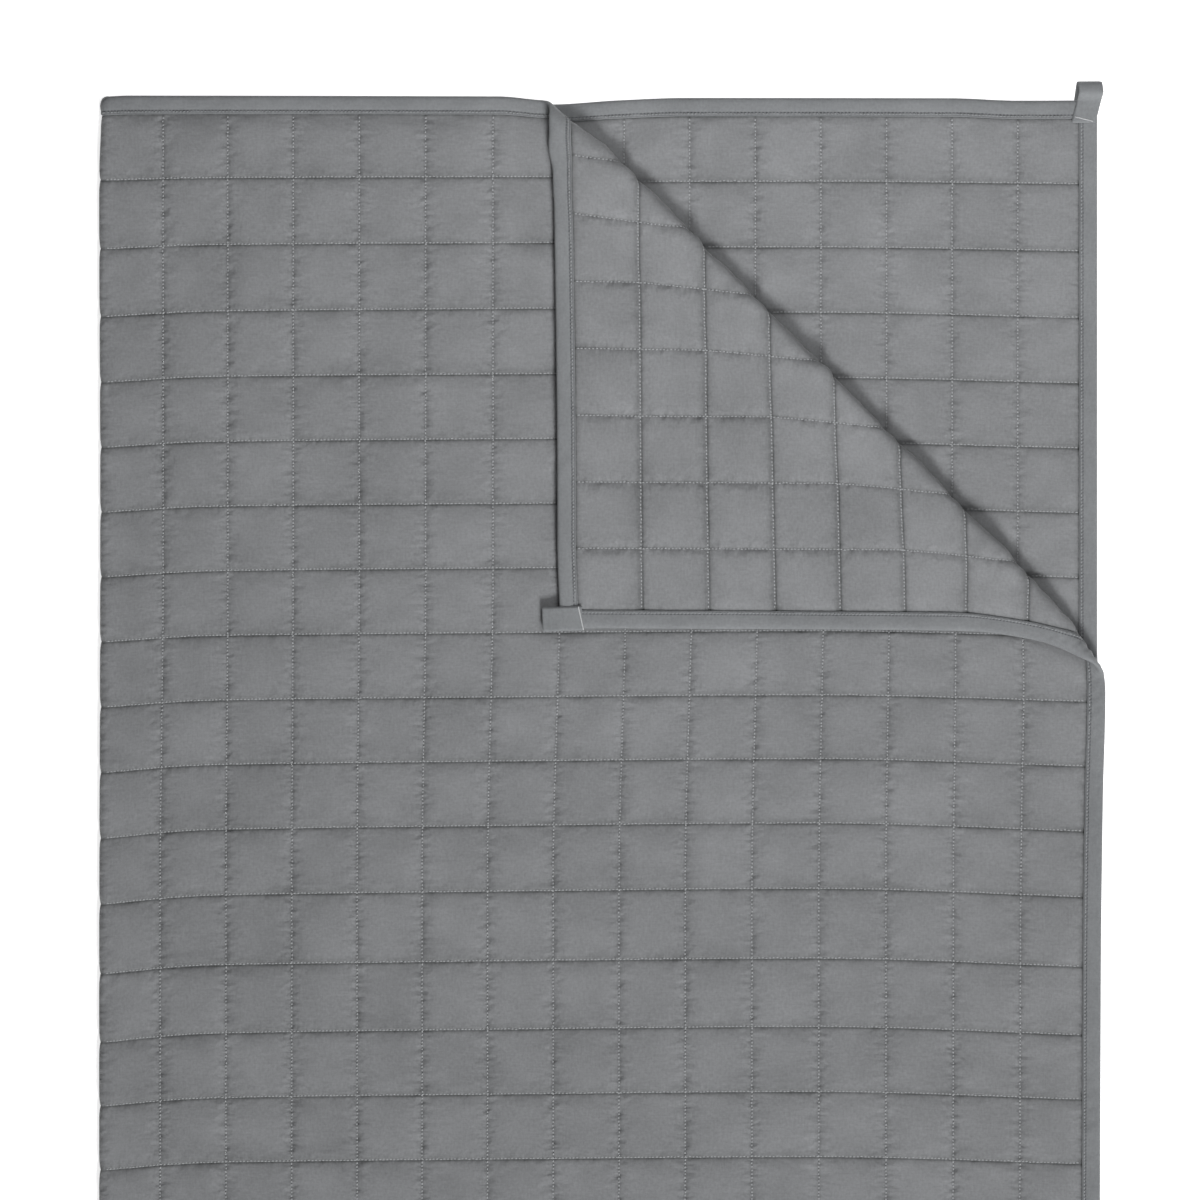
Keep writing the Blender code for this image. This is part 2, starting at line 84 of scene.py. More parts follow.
# A curve is the places of its points and the values there.
# The turned-back corner. By the place along the turn: where its roll starts, the lengths of its
# bend and of its fall to the flap, the cloth gathered into both, and the flap's slip along the turn
TURN_Y = 0.6093
TURN = (-0.300, -0.286, -0.266, -0.240, -0.180, -0.050, 0.170, 0.216, 0.255, 0.300)
ROLL_START = (
    TURN,
    (0.2297, 0.2260, 0.2272, 0.2304, 0.2309, 0.2303, 0.2291, 0.2280, 0.2261, 0.2188),
)
ROLL_LENGTH = TURN, (0.024, 0.024, 0.026, 0.027, 0.027, 0.027, 0.027, 0.027, 0.026, 0.024)
ROLL_DROP = 0.045
ROLL_GATHER = (
    TURN,
    (0.0028, 0.0028, 0.0058, 0.0093, 0.0072, 0.0076, 0.0076, 0.0070, 0.0076, 0.0058),
)
FLAP_SLIP = (
    TURN,
    (0.0066, 0.0075, 0.0097, 0.0103, 0.0073, 0.0045, 0.0045, 0.0061, 0.0056, 0.0052),
)
# How high the flap's free left edge stands, and where the flap covers the blanket
EDGE_LIFT = 0.0014
CORNER_LIFT = 0.0018
EDGE_LIFT_WIDTH = 0.045
EDGE_LIFT_START = 0.50
FLAP_LEFT = -0.033
FLAP_BOTTOM = 0.587
FLAP_COVER = 0.03
FLAP_COVER_STITCHES = 0.02

# How far the rows fall, by the place across, and the share of it and their lead by the place down
SAG = (0.00, 0.09, 0.29, 0.54, 0.75), (0.0120, 0.0050, 0.0022, 0.0000, 0.0067)
SAG_ROWS = (0.00, 0.08, 0.16, 0.40, 0.59, 0.70, 0.80, 2.00)
SAG_SHARE = SAG_ROWS, (0.00, 0.35, 0.62, 0.70, 1.00, 1.00, 0.85, 0.35)
ROW_LEAD = SAG_ROWS, (0.0000, 0.0000, 0.0000, 0.0025, 0.0060, 0.0004, 0.0010, 0.0000)
# How far inward the two layers' head edges lie, by the place across
LOWER_HEAD_EDGE = (
    (0.000, 0.060, 0.300, 0.340, 0.390, 0.440, 0.640, 0.690, 0.750),
    (0.0000, 0.0012, 0.0010, 0.0020, -0.0010, -0.0028, -0.0026, -0.0008, -0.0010),
)
UPPER_HEAD_EDGE = (
    (0.000, 0.020, 0.300, 0.335, 0.365, 0.400, 0.680, 0.750),
    (0.0004, -0.0004, 0.0002, 0.0030, 0.0010, -0.0026, -0.0026, 0.0000),
)
HEAD_EDGE_DEPTH = 0.070
# How far the upper layer's columns are drawn to the fold, at the head and below the corner
DRAWN_COLUMNS = (0.000, 0.049, 0.150, 0.250, 0.345, 0.395, 0.550, 0.690, 0.750)
HEAD_DRAW = DRAWN_COLUMNS, (0, 0.0014, 0.0026, 0.0020, 0, 0, 0, 0, 0)
FOOT_DRAW = DRAWN_COLUMNS, (0, 0.0036, 0.0036, 0.0047, 0.0052, 0.0052, 0.0034, 0.0006, 0)
DRAW_START = 0.36
DRAW_END = 0.60
# How far outward the upper layer's side lies, and inward the centre fold, by the place down
UPPER_SIDE_EDGE = (
    (0.00, 0.36, 0.45, 0.53, 0.67, 1.30, 2.00),
    (0.0000, 0.0000, 0.0034, 0.0016, 0.0000, -0.0015, 0.0005),
)
SIDE_EDGE_DEPTH = 0.150
FOLD_EDGE = (
    (0.000, 0.002, 0.006, 0.016, 0.060, 0.300, 0.700, 1.400, 2.000),
    (0.0042, 0.0022, 0.0010, 0.0014, 0.0000, 0.0008, 0.0000, 0.0012, 0.0004),
)
FOLD_EDGE_DEPTH = 0.060

# The corner loops
LOOP_WIDTH = 0.0182
LOOP_THICK = 0.0007
LOOP_OFFSET = TAPE_HALF + 0.00055
LOOP_BASE = 0.0165
Loop = namedtuple("Loop", "piece node centre reach front back neck lean")
LOOPS = [
    Loop(
        piece="open_loop_tape",
        node="corner_loop_open",
        centre=-0.7395,
        reach=0.0140,
        front=-0.0056,
        back=LOOP_OFFSET,
        neck=0.006,
        lean=-0.0060,
    ),
    Loop(
        piece="flat_loop_tape",
        node="corner_loop_flat",
        centre=0.7425,
        reach=0.0130,
        front=-0.0008,
        back=0.0008,
        neck=0.009,
        lean=0.0010,
    ),
]

# How finely the cloth is made: cuts in each edge that is longer than LONG_EDGE, or than BENT_EDGE
# within BENT_REACH of the roll, and once more in the roll itself
CELL_CUTS = 9
LONG_EDGE = 0.020
BENT_EDGE = 0.010
BENT_REACH = 0.080
ROLL_MARGIN = 0.002
ROLL_REACH = 0.045
# Where a cell's evenly spaced cuts go, closer together at its seams
CUT_PLACES = [0, 0.022, 0.065, 0.14, 0.28, 0.50, 0.72, 0.86, 0.935, 0.978, 1]
# Steps along the roll's section and along the turn, and the smallest length that counts
SECTION_STEPS = 96
LEAN_STEPS = 400
HALVINGS = 24
SMALL = 1e-6


# Where a flat point lies once the blanket is folded


def eased(at, start, end):
    """From 0 at the start to 1 at the end, level at both."""
    share = np.clip((at - start) / (end - start), 0, 1)
    return share * share * (3 - 2 * share)


def slopes_through(places, values):
    """Slopes at the points of a curve that never swings past them."""
    rises = np.diff(values) / np.diff(places)
    before, after = rises[:-1], rises[1:]
    same_way = before * after > 0
    middle = np.where(same_way, 2 * before * after / np.where(same_way, before + after, 1), 0)
    return np.concatenate([rises[:1], middle, rises[-1:]])


def through(at, curve):
    """The value at a place, on a smooth line through the curve's points."""
    places, values = np.array(curve)
    slopes = slopes_through(places, values)
    at = np.clip(at, places[0], places[-1])
    row = np.clip(np.searchsorted(places, at) - 1, 0, len(places) - 2)
    step = places[row + 1] - places[row]
    share = (at - places[row]) / step
    rise = share * share * (3 - 2 * share)
    swing = slopes[row] * share * (1 - share) ** 2 - slopes[row + 1] * share**2 * (1 - share)
    return values[row] + (values[row + 1] - values[row]) * rise + step * swing


def from_border(across, down):
    """How far a point lies from the nearest edge of the flat blanket."""
    return np.minimum(np.minimum(down, LENGTH - down), WIDTH / 2 - np.abs(across))


def edge_offsets(across, down):
    """How far the cloth lies sideways and headwards of where even quilting would put it."""
    out = np.abs(across)
    upper = across > 0
    fall = through(out, SAG) * through(down, SAG_SHARE) - through(down, ROW_LEAD)
    fall = fall + np.where(upper, 0, LOWER_SHIFT * eased(out, 0, LOWER_SHIFT_ACROSS))
    head = np.where(upper, through(out, UPPER_HEAD_EDGE), through(out, LOWER_HEAD_EDGE))
    head = head * (1 - eased(down, 0, HEAD_EDGE_DEPTH))
    near_side = eased(out, WIDTH / 2 - SIDE_EDGE_DEPTH, WIDTH / 2)
    side = through(down, UPPER_SIDE_EDGE) * near_side
    near_fold = 1 - eased(out, 0, FOLD_EDGE_DEPTH)
    fold = through(down, FOLD_EDGE) * near_fold
    drawn = through(out, HEAD_DRAW)
    drawn = drawn + (through(out, FOOT_DRAW) - drawn) * eased(down, DRAW_START, DRAW_END)
    return fold + np.where(upper, side - drawn, 0), -fall - head


def laid_flat(across, down):
    """Where a point lies, seen from above, before the corner is turned back."""
    past_fold = np.maximum(np.abs(across) - FOLD_ARC, 0)
    take_up = np.where(across > 0, UPPER_TAKE_UP, LOWER_TAKE_UP)
    sideways, headwards = edge_offsets(across, down)
    bend = np.clip(across / FOLD_RADIUS, -math.pi / 2, math.pi / 2)
    x = FOLD_X - FOLD_RADIUS * np.cos(bend) + past_fold * (1 - take_up) + sideways
    return x, HEAD_Y - down * (1 - LENGTH_TAKE_UP) + headwards, bend


def to_turn(x, y):
    """How far a place lies towards the turned corner, and how far along the turn."""
    return (x + y - TURN_Y) / math.sqrt(2), (x - y + TURN_Y) / math.sqrt(2)


def from_turn(towards, along):
    """The place that to_turn() gives these distances for."""
    return (towards + along) / math.sqrt(2), TURN_Y + (towards - along) / math.sqrt(2)


def past_turn(across, down):
    """How far a point is past the line where the roll starts."""
    x, y, _ = laid_flat(across, down)
    towards, along = to_turn(x, y)
    return towards - through(along, ROLL_START)


def section(distance, length, lean):
    """A point of the roll's cross-section: forward, up and the cloth's slope."""
    steps = np.linspace(0, 1, SECTION_STEPS)[:, None] * distance
    slope = (math.pi + lean) * eased(steps, 0, length)
    slope = slope - lean * eased(steps, length, length + ROLL_DROP)
    middles = (slope[1:] + slope[:-1]) / 2
    stride = distance / (SECTION_STEPS - 1)
    return np.cos(middles).sum(0) * stride, np.sin(middles).sum(0) * stride, slope[-1]


def leans_along():
    """How much further than flat the roll turns, to end at the flap's height."""
    along = np.linspace(TURN[0], TURN[-1], LEAN_STEPS)
    length = through(along, ROLL_LENGTH)
    low, high = np.zeros_like(length), np.full_like(length, math.pi / 2)
    for _ in range(HALVINGS):
        middle = (low + high) / 2
        too_high = section(length + ROLL_DROP, length, middle)[1] > FLAP_RISE
        low, high = np.where(too_high, middle, low), np.where(too_high, high, middle)
    return along, (low + high) / 2


LEAN_PLACES, LEANS = leans_along()


def edge_lift(across, down, past, taken):
    """How far the flap's left edge stands up from the layer under it, most at its corner."""
    near_edge = 1 - eased(down, 0, EDGE_LIFT_WIDTH)
    lift = EDGE_LIFT + (CORNER_LIFT - EDGE_LIFT) * eased(across, EDGE_LIFT_START, WIDTH / 2)
    return lift * near_edge * eased(past, taken / 2, taken + EDGE_LIFT_WIDTH)


def lay(across, down, out):
    """Flat points as points of the folded blanket."""
    across, down, out = np.broadcast_arrays(across, down, out)
    across, down, out = (np.array(part, float) for part in (across, down, out))
    x, y, bend = laid_flat(across, down)
    z = FOLD_Z + FOLD_RADIUS * np.sin(bend)
    normal = np.stack([-np.cos(bend), np.zeros_like(bend), np.sin(bend)], axis=-1)
    towards, along = to_turn(x, y)
    start = through(along, ROLL_START)
    past = towards - start
    droop = 1 - eased(from_border(across, down), TAPE_WIDTH, TAPE_WIDTH + DROOP_SLOPE)
    droop = droop * eased(across, DROOP_START, DROOP_START + DROOP_RUN)
    z = z - EDGE_DROOP * droop * (1 - eased(past, -DROOP_START - DROOP_RUN, -DROOP_START))
    points = np.stack([x, y, z], axis=-1) + normal * out[..., None]
    turned = (across > FOLD_ARC) & (past > 0)
    if turned.any():
        past, along, out = past[turned], along[turned], out[turned]
        length = through(along, ROLL_LENGTH)
        lean = np.interp(along, LEAN_PLACES, LEANS)
        taken = length + ROLL_DROP + through(along, ROLL_GATHER)
        end = np.minimum(past, taken)
        forward, up, slope = section(end * (length + ROLL_DROP) / taken, length, lean)
        forward = forward - (past - end) - np.sin(slope) * out
        up = up + np.cos(slope) * out
        slip = through(along, FLAP_SLIP) * eased(past, 0, taken)
        up = up + edge_lift(across[turned], down[turned], past, taken)
        new_x, new_y = from_turn(start[turned] + forward, along - slip)
        points[turned] = np.stack([new_x, new_y, z[turned] + up], axis=-1)
    return points


# Relief of the cloth


def rippled(across, down, waves):
    """A smooth uneven height, about as high both ways as the waves that make it up say."""
    chance = np.random.default_rng(waves.seed)
    height = np.zeros(np.broadcast(across, down).shape)
    lengths = math.log(waves.shortest), math.log(waves.longest)
    for _ in range(waves.count):
        heading = chance.uniform(0, 2 * math.pi)
        turns = 2 * math.pi / math.exp(chance.uniform(*lengths))
        phase = chance.uniform(0, 2 * math.pi)
        height += np.sin(turns * (across * math.cos(heading) + down * math.sin(heading)) + phase)
    return height / math.sqrt(waves.count * 2) * waves.height


def seams_across(count, size):
    """Distances of the seams from the edge of a side, all the same width apart."""
    pitch = (size - 2 * EDGE) / count
    return [EDGE + pitch * number for number in range(1, count)]


# The seams between the cells, and the cells' walls, which the binding makes at the border
COLUMN_SEAMS = np.array([seam - WIDTH / 2 for seam in seams_across(COLUMNS, WIDTH)])
ROW_SEAMS = np.array(seams_across(ROWS, LENGTH))
COLUMN_WALLS = np.array([TAPE_WIDTH - WIDTH / 2, *COLUMN_SEAMS, WIDTH / 2 - TAPE_WIDTH])
ROW_WALLS = np.array([TAPE_WIDTH, *ROW_SEAMS, LENGTH - TAPE_WIDTH])
# Each cell's filling and its tilt, on both faces of the cloth
CELL_CHANCE = np.random.default_rng(11)
CELL_FILL = CELL_CHANCE.uniform(0.90, 1.16, (2, COLUMNS, ROWS))
CELL_TILT = CELL_CHANCE.uniform(-0.44, 0.44, (2, COLUMNS, ROWS, 2))
FULLEST = 1.2
# A cell rises from its seams over these widths, and its filling slumps towards the foot
SEAM_EASE = 3.6
COLUMN_SLOPE = 0.014
HEADWARD_SLOPE = 0.028
FOOTWARD_SLOPE = 0.0055
SLUMP = 0.34
# Small puffs between the seams along the centre fold
FOLD_PUFF = 0.0011
FOLD_PUFF_WIDTH = 0.020
# Slight waves: their height, how many make them up, their lengths and their seed
Waves = namedtuple("Waves", "height count shortest longest seed")
WRINKLES = Waves(height=0.00090, count=26, shortest=0.014, longest=0.040, seed=5)
SWELLS = Waves(height=0.00090, count=14, shortest=0.07, longest=0.20, seed=8)
TAPE_WAVES = Waves(height=0.00022, count=30, shortest=0.009, longest=0.035, seed=21)
LOOP_WAVES = Waves(height=0.00012, count=12, shortest=0.006, longest=0.02, seed=31)
OTHER_FACE = 3
SWELL_START = 0.05
SWELL_BORDER = 0.06


def rising(distance, slope):
    """From 0 at a seam to 1 on the level part of its cell, steepest at the seam."""
    return 1 - (1 - np.clip(distance / slope, 0, 1)) ** SEAM_EASE


def half_thickness(across, down, side):
    """From the middle of the cloth to its face, on the side given as 1 or -1."""
    column = np.clip(np.searchsorted(COLUMN_WALLS, across) - 1, 0, COLUMNS - 1)
    row = np.clip(np.searchsorted(ROW_WALLS, down) - 1, 0, ROWS - 1)
    left, right = across - COLUMN_WALLS[column], COLUMN_WALLS[column + 1] - across
    head, foot = down - ROW_WALLS[row], ROW_WALLS[row + 1] - down
    face = (side < 0).astype(int) if isinstance(side, np.ndarray) else int(side < 0)
    crown = rising(left, COLUMN_SLOPE) * rising(right, COLUMN_SLOPE)
    crown = crown * rising(head, HEADWARD_SLOPE) * rising(foot, FOOTWARD_SLOPE)
    crown = crown * (1 - SLUMP * foot / ROW_PITCH)
    tilt = CELL_TILT[face, column, row]
    lopsided = tilt[..., 0] * (left / COLUMN_PITCH - 0.5) + tilt[..., 1] * (head / ROW_PITCH - 0.5)
    crown = crown * (CELL_FILL[face, column, row] + lopsided)
    crown = np.minimum(crown, FULLEST) * (CROWN_HALF - SEAM_HALF)
    at_fold = 1 - eased(np.abs(across), 0, FOLD_PUFF_WIDTH)
    at_fold = at_fold * rising(head, COLUMN_SLOPE) * rising(foot, COLUMN_SLOPE)
    crown = np.maximum(crown, FOLD_PUFF * at_fold)
    wrinkles = rippled(across + OTHER_FACE * face, down, WRINKLES)
    inside = np.minimum(np.minimum(left, right), np.minimum(head, foot))
    return SEAM_HALF + np.maximum(crown, 0) + wrinkles * rising(inside, COLUMN_SLOPE)


def cloth_face(across, down, side, lift=0.0):
    """A point on the cloth's face, or lift above it."""
    swell = rippled(across, down, SWELLS) * eased(np.abs(across), FOLD_ARC, SWELL_START)
    swell = swell * eased(from_border(across, down), TAPE_WIDTH, SWELL_BORDER)
    return lay(across, down, side * (half_thickness(across, down, side) + lift) + swell)


# Materials

STITCH_PITCH = 0.0027
# How often slubs change along and across their thread, and puckers across and along their seam
SLUB_SCALES = (140, 900)
SLUB_DETAIL = 2.0
PUCKER_SCALES = (100, 150)
PUCKER_DETAIL = 1.5
# Uneven shades of a cloth, each by the size of its patches and its weight, and their mean: the
# finest is the cloth's grain, the two larger are partly its uneven tone and partly painted shade
# and sheen of its slight waves
TONE_AND_SHADE_PATCHES = [(0.035, 0.9), (0.0022, 1.4), (0.085, 1.2)]
MEAN_SHADE = 1.77
# Painted shade along the seams and along the binding's inner edge, by their reach and weight: dark
# lines where the seams' crevices and the cells' slopes beside them lie in shade
SeamShade = namedtuple("SeamShade", "reach offset columns rows weight")
SEAM_SHADES = [
    SeamShade(reach=0.0009, offset=0.0013, columns=0.45, rows=1.0, weight=-1.3),
    SeamShade(reach=0.0022, offset=-0.0018, columns=0.0, rows=1.0, weight=-0.6),
    SeamShade(reach=0.0040, offset=0.0, columns=0.7, rows=0.8, weight=-0.45),
]
BORDER_SHADE_REACH = 0.0010
BORDER_SHADE_WEIGHT = -2.0
PUCKER_COLUMNS = 0.8
PUCKER_ROWS = 0.45
# Painted shade of the lines pressed into the binding beside its stitches, at a distance from its
# outer edge, whole or in dashes
Groove = namedtuple("Groove", "place reach weight output")
GROOVE_SHADES = [
    Groove(place=0.0108, reach=0.00040, weight=-1.5, output="Dash"),
    Groove(place=0.0108, reach=0.00040, weight=-0.8, output="Groove"),
    Groove(place=0.0129, reach=0.00035, weight=-1.2, output="Groove"),
]
# The weave's depth and the puckers' height are negative where they are pressed into the surface
Cloth = namedtuple("Cloth", "name dark light pitch slub depth puckers sheen roughness grooves")
QUILTED_COTTON = Cloth(
    name="quilted cotton",
    dark=(0.165, 0.169, 0.174, 1),
    light=(0.235, 0.240, 0.248, 1),
    pitch=0.0005,
    slub=0.5,
    depth=-0.00011,
    puckers=-0.0045,
    sheen=0.25,
    roughness=0.9,
    grooves=[],
)
BINDING_TAPE = QUILTED_COTTON._replace(
    name="binding tape",
    dark=(0.150, 0.156, 0.162, 1),
    light=(0.208, 0.216, 0.223, 1),
    slub=0.4,
    depth=0.00009,
    puckers=0,
    sheen=0.2,
    roughness=0.85,
    grooves=GROOVE_SHADES,
)
LOOP_TAPE = BINDING_TAPE._replace(
    name="loop tape",
    dark=(0.155, 0.162, 0.168, 1),
    light=(0.215, 0.224, 0.231, 1),
    pitch=0.0008,
    slub=0.3,
    depth=-0.00014,
    grooves=[],
)
SHEEN_ROUGHNESS = 0.45
CLOTH_GLOSS = 0.28
SHADE_ROUGHNESS = -0.12
Thread = namedtuple("Thread", "name colour roughness")
SEAM_THREAD = Thread("seam thread", (0.33, 0.34, 0.35, 1), 0.6)
BINDING_THREAD = Thread("binding thread", (0.25, 0.26, 0.27, 1), 0.6)
TACK_THREAD = Thread("bar tack thread", (0.62, 0.63, 0.64, 1), 0.55)
THREAD_DARK = 0.72
THREAD_PATCH = 0.004
THREAD_SHEEN = 0.2
TWIST_PITCH = 0.0004
TWIST_SLUB = 0.3
TWIST_DEPTH = 0.00008


def group(name, numbers, outputs):
    """A node group that takes a place and these numbers, with the sockets of its two ends."""
    tree = bpy.data.node_groups.new(name, "ShaderNodeTree")
    tree.interface.new_socket("Vector", in_out="INPUT", socket_type="NodeSocketVector")
    for label, value in numbers.items():
        socket = tree.interface.new_socket(label, in_out="INPUT", socket_type="NodeSocketFloat")
        socket.default_value = value
    for label in outputs:
        tree.interface.new_socket(label, in_out="OUTPUT", socket_type="NodeSocketFloat")
    ends = tree.nodes.new("NodeGroupInput"), tree.nodes.new("NodeGroupOutput")
    return tree, ends[0].outputs, ends[1].inputs


def wired(tree, kind, links, **settings):
    """A new node with its settings, and its inputs given as values or as sockets to link."""
    node = tree.nodes.new(kind)
    for key, value in settings.items():
        setattr(node, key, value)
    for socket, value in links.items():
        if isinstance(value, bpy.types.NodeSocket):
            tree.links.new(value, node.inputs[socket])
        else:
            node.inputs[socket].default_value = value
    return node


def reckoned(tree, kind, *parts):
    """The output of a Math node."""
    return wired(tree, "ShaderNodeMath", dict(enumerate(parts)), operation=kind).outputs[0]


def noise(tree, place, detail, scale=1.0, roughness=0.5):
    """An uneven value around a half."""
    links = {"Vector": place, "Scale": scale, "Detail": detail, "Roughness": roughness}
    return wired(tree, "ShaderNodeTexNoise", links).outputs[0]


def stretched_noise(tree, place, across, down, detail):
    """An uneven value that changes so many times a metre in each direction."""
    links = {0: place, 1: (across, down, 1)}
    stretched = wired(tree, "ShaderNodeVectorMath", links, operation="MULTIPLY")
    return noise(tree, stretched.outputs[0], detail)


def directions(tree, place):
    """The two flat directions of a place."""
    return wired(tree, "ShaderNodeSeparateXYZ", {0: place}).outputs[:2]


def nearness(tree, distance, reach, squared=False):
    """1 at no distance, fading out over the reach."""
    share = reckoned(tree, "DIVIDE", distance, reach)
    if squared:
        share = reckoned(tree, "MULTIPLY", share, share)
    return reckoned(tree, "EXPONENT", reckoned(tree, "MULTIPLY", share, -1.0))


def apart(tree, first, second):
    """How far two values are apart."""
    return reckoned(tree, "ABSOLUTE", reckoned(tree, "SUBTRACT", first, second))


def weave_group():
    """Plain weave: crossing threads with slubs. Gives a height and a shade around a half."""
    numbers = {"Thread Pitch": 0.0005, "Slub": 0.5}
    tree, given, result = group("plain_weave", numbers, ["Height", "Shade"])
    turns = reckoned(tree, "DIVIDE", 2 * math.pi, given["Thread Pitch"])
    warp, weft = (
        reckoned(tree, "SINE", reckoned(tree, "MULTIPLY", way, turns))
        for way in directions(tree, given["Vector"])
    )
    slubs = [
        stretched_noise(tree, given["Vector"], *scales, SLUB_DETAIL)
        for scales in (SLUB_SCALES, SLUB_SCALES[::-1])
    ]
    slubs = reckoned(tree, "SUBTRACT", reckoned(tree, "ADD", *slubs), 1.0)
    uneven = reckoned(tree, "MULTIPLY", slubs, given["Slub"])
    crossing = reckoned(tree, "MULTIPLY", warp, weft)
    height = reckoned(tree, "MULTIPLY_ADD", crossing, 0.25, 0.5)
    tree.links.new(reckoned(tree, "ADD", height, uneven), result["Height"])
    tree.links.new(reckoned(tree, "ADD", uneven, 0.5), result["Shade"])
    return tree


def pucker_group():
    """Small gathers that run out from the seams of a square quilting, and how near a place is to
    the seams, which also masks the painted seam shade.
    """
    numbers = {"Reach": 0.006, "Row Offset": 0.0, "Columns": 1.0, "Rows": 0.6}
    tree, given, result = group("seam_puckers_and_shade", numbers, ["Height", "Near Seam"])
    column_way, row_way = directions(tree, given["Vector"])
    row_way = reckoned(tree, "SUBTRACT", row_way, given["Row Offset"])
    heights, nears = [], []
    for way, pitch, first, strength, scales in (
        (column_way, COLUMN_PITCH, EDGE - WIDTH / 2, "Columns", PUCKER_SCALES),
        (row_way, ROW_PITCH, EDGE, "Rows", PUCKER_SCALES[::-1]),
    ):
        cells = reckoned(tree, "DIVIDE", reckoned(tree, "SUBTRACT", way, first), pitch)
        share = reckoned(tree, "FRACT", reckoned(tree, "ADD", cells, 0.5))
        distance = reckoned(tree, "MULTIPLY", apart(tree, share, 0.5), pitch)
        near = nearness(tree, distance, given["Reach"])
        near = reckoned(tree, "MULTIPLY", near, given[strength])
        gathers = stretched_noise(tree, given["Vector"], *scales, PUCKER_DETAIL)
        gathers = reckoned(tree, "SUBTRACT", gathers, 0.5)
        heights.append(reckoned(tree, "MULTIPLY", gathers, near))
        nears.append(near)
    tree.links.new(reckoned(tree, "ADD", *heights), result["Height"])
    tree.links.new(reckoned(tree, "MAXIMUM", *nears), result["Near Seam"])
    return tree


def border_group():
    """How near a place is to the tape's inner edge on the quilted cloth, 1 at the edge; it masks
    the painted shade along that edge.
    """
    tree, given, result = group("border_shade_mask", {"Reach": 0.001}, ["Near Edge"])
    across, down = directions(tree, given["Vector"])
    side = reckoned(tree, "ABSOLUTE", across)
    side = reckoned(tree, "SUBTRACT", WIDTH / 2 - TAPE_WIDTH, side)
    end = apart(tree, down, LENGTH / 2)
    end = reckoned(tree, "SUBTRACT", LENGTH / 2 - TAPE_WIDTH, end)
    distance = reckoned(tree, "ABSOLUTE", reckoned(tree, "MINIMUM", side, end))
    tree.links.new(nearness(tree, distance, given["Reach"]), result["Near Edge"])
    return tree


def groove_shade_group():
    """Where to paint the shade of the lines pressed into the binding on both sides of its stitches,
    and their dashes.
    """
    numbers = {"Place": 0.0118, "Reach": 0.0003}
    tree, given, result = group("stitch_groove_shade", numbers, ["Groove", "Dash"])
    along, inward = directions(tree, given["Vector"])
    distance = apart(tree, reckoned(tree, "ABSOLUTE", inward), given["Place"])
    near = nearness(tree, distance, given["Reach"], squared=True)
    beat = reckoned(tree, "MULTIPLY", along, 2 * math.pi / STITCH_PITCH)
    dash = reckoned(tree, "MULTIPLY_ADD", reckoned(tree, "SINE", beat), 0.5, 0.5)
    tree.links.new(near, result["Groove"])
    tree.links.new(reckoned(tree, "MULTIPLY", near, dash), result["Dash"])
    return tree


def mottle_group():
    """Soft uneven patches of shade, from 0 to 1."""
    tree, given, result = group("mottle", {"Size": 0.03}, ["Shade"])
    scale = reckoned(tree, "DIVIDE", 1.0, given["Size"])
    tree.links.new(noise(tree, given["Vector"], 4.0, scale, 0.6), result["Shade"])
    return tree


WEAVE_GROUP = weave_group()
PUCKER_AND_SHADE_GROUP = pucker_group()
MOTTLE_GROUP = mottle_group()
BORDER_GROUP = border_group()
GROOVE_SHADE_GROUP = groove_shade_group()


def shared(tree, kind, place, **numbers):
    """The outputs of a shared group at a place."""
    links = {label.replace("_", " "): value for label, value in numbers.items()}
    return wired(tree, "ShaderNodeGroup", {"Vector": place, **links}, node_tree=kind).outputs


def new_material(name):
    """A material with its tree, its shader and the place on the piece's own flat map."""
    material = bpy.data.materials.new(name)
    material.use_nodes = True
    tree = material.node_tree
    place = wired(tree, "ShaderNodeUVMap", {}, uv_map="flat").outputs[0]
    return material, tree, tree.nodes["Principled BSDF"], place


def raise_surface(tree, shader, height):
    """Lets a height in metres show on the surface."""
    bump = wired(tree, "ShaderNodeBump", {"Height": height, "Strength": 1.0, "Distance": 1.0})
    tree.links.new(bump.outputs[0], shader.inputs["Normal"])


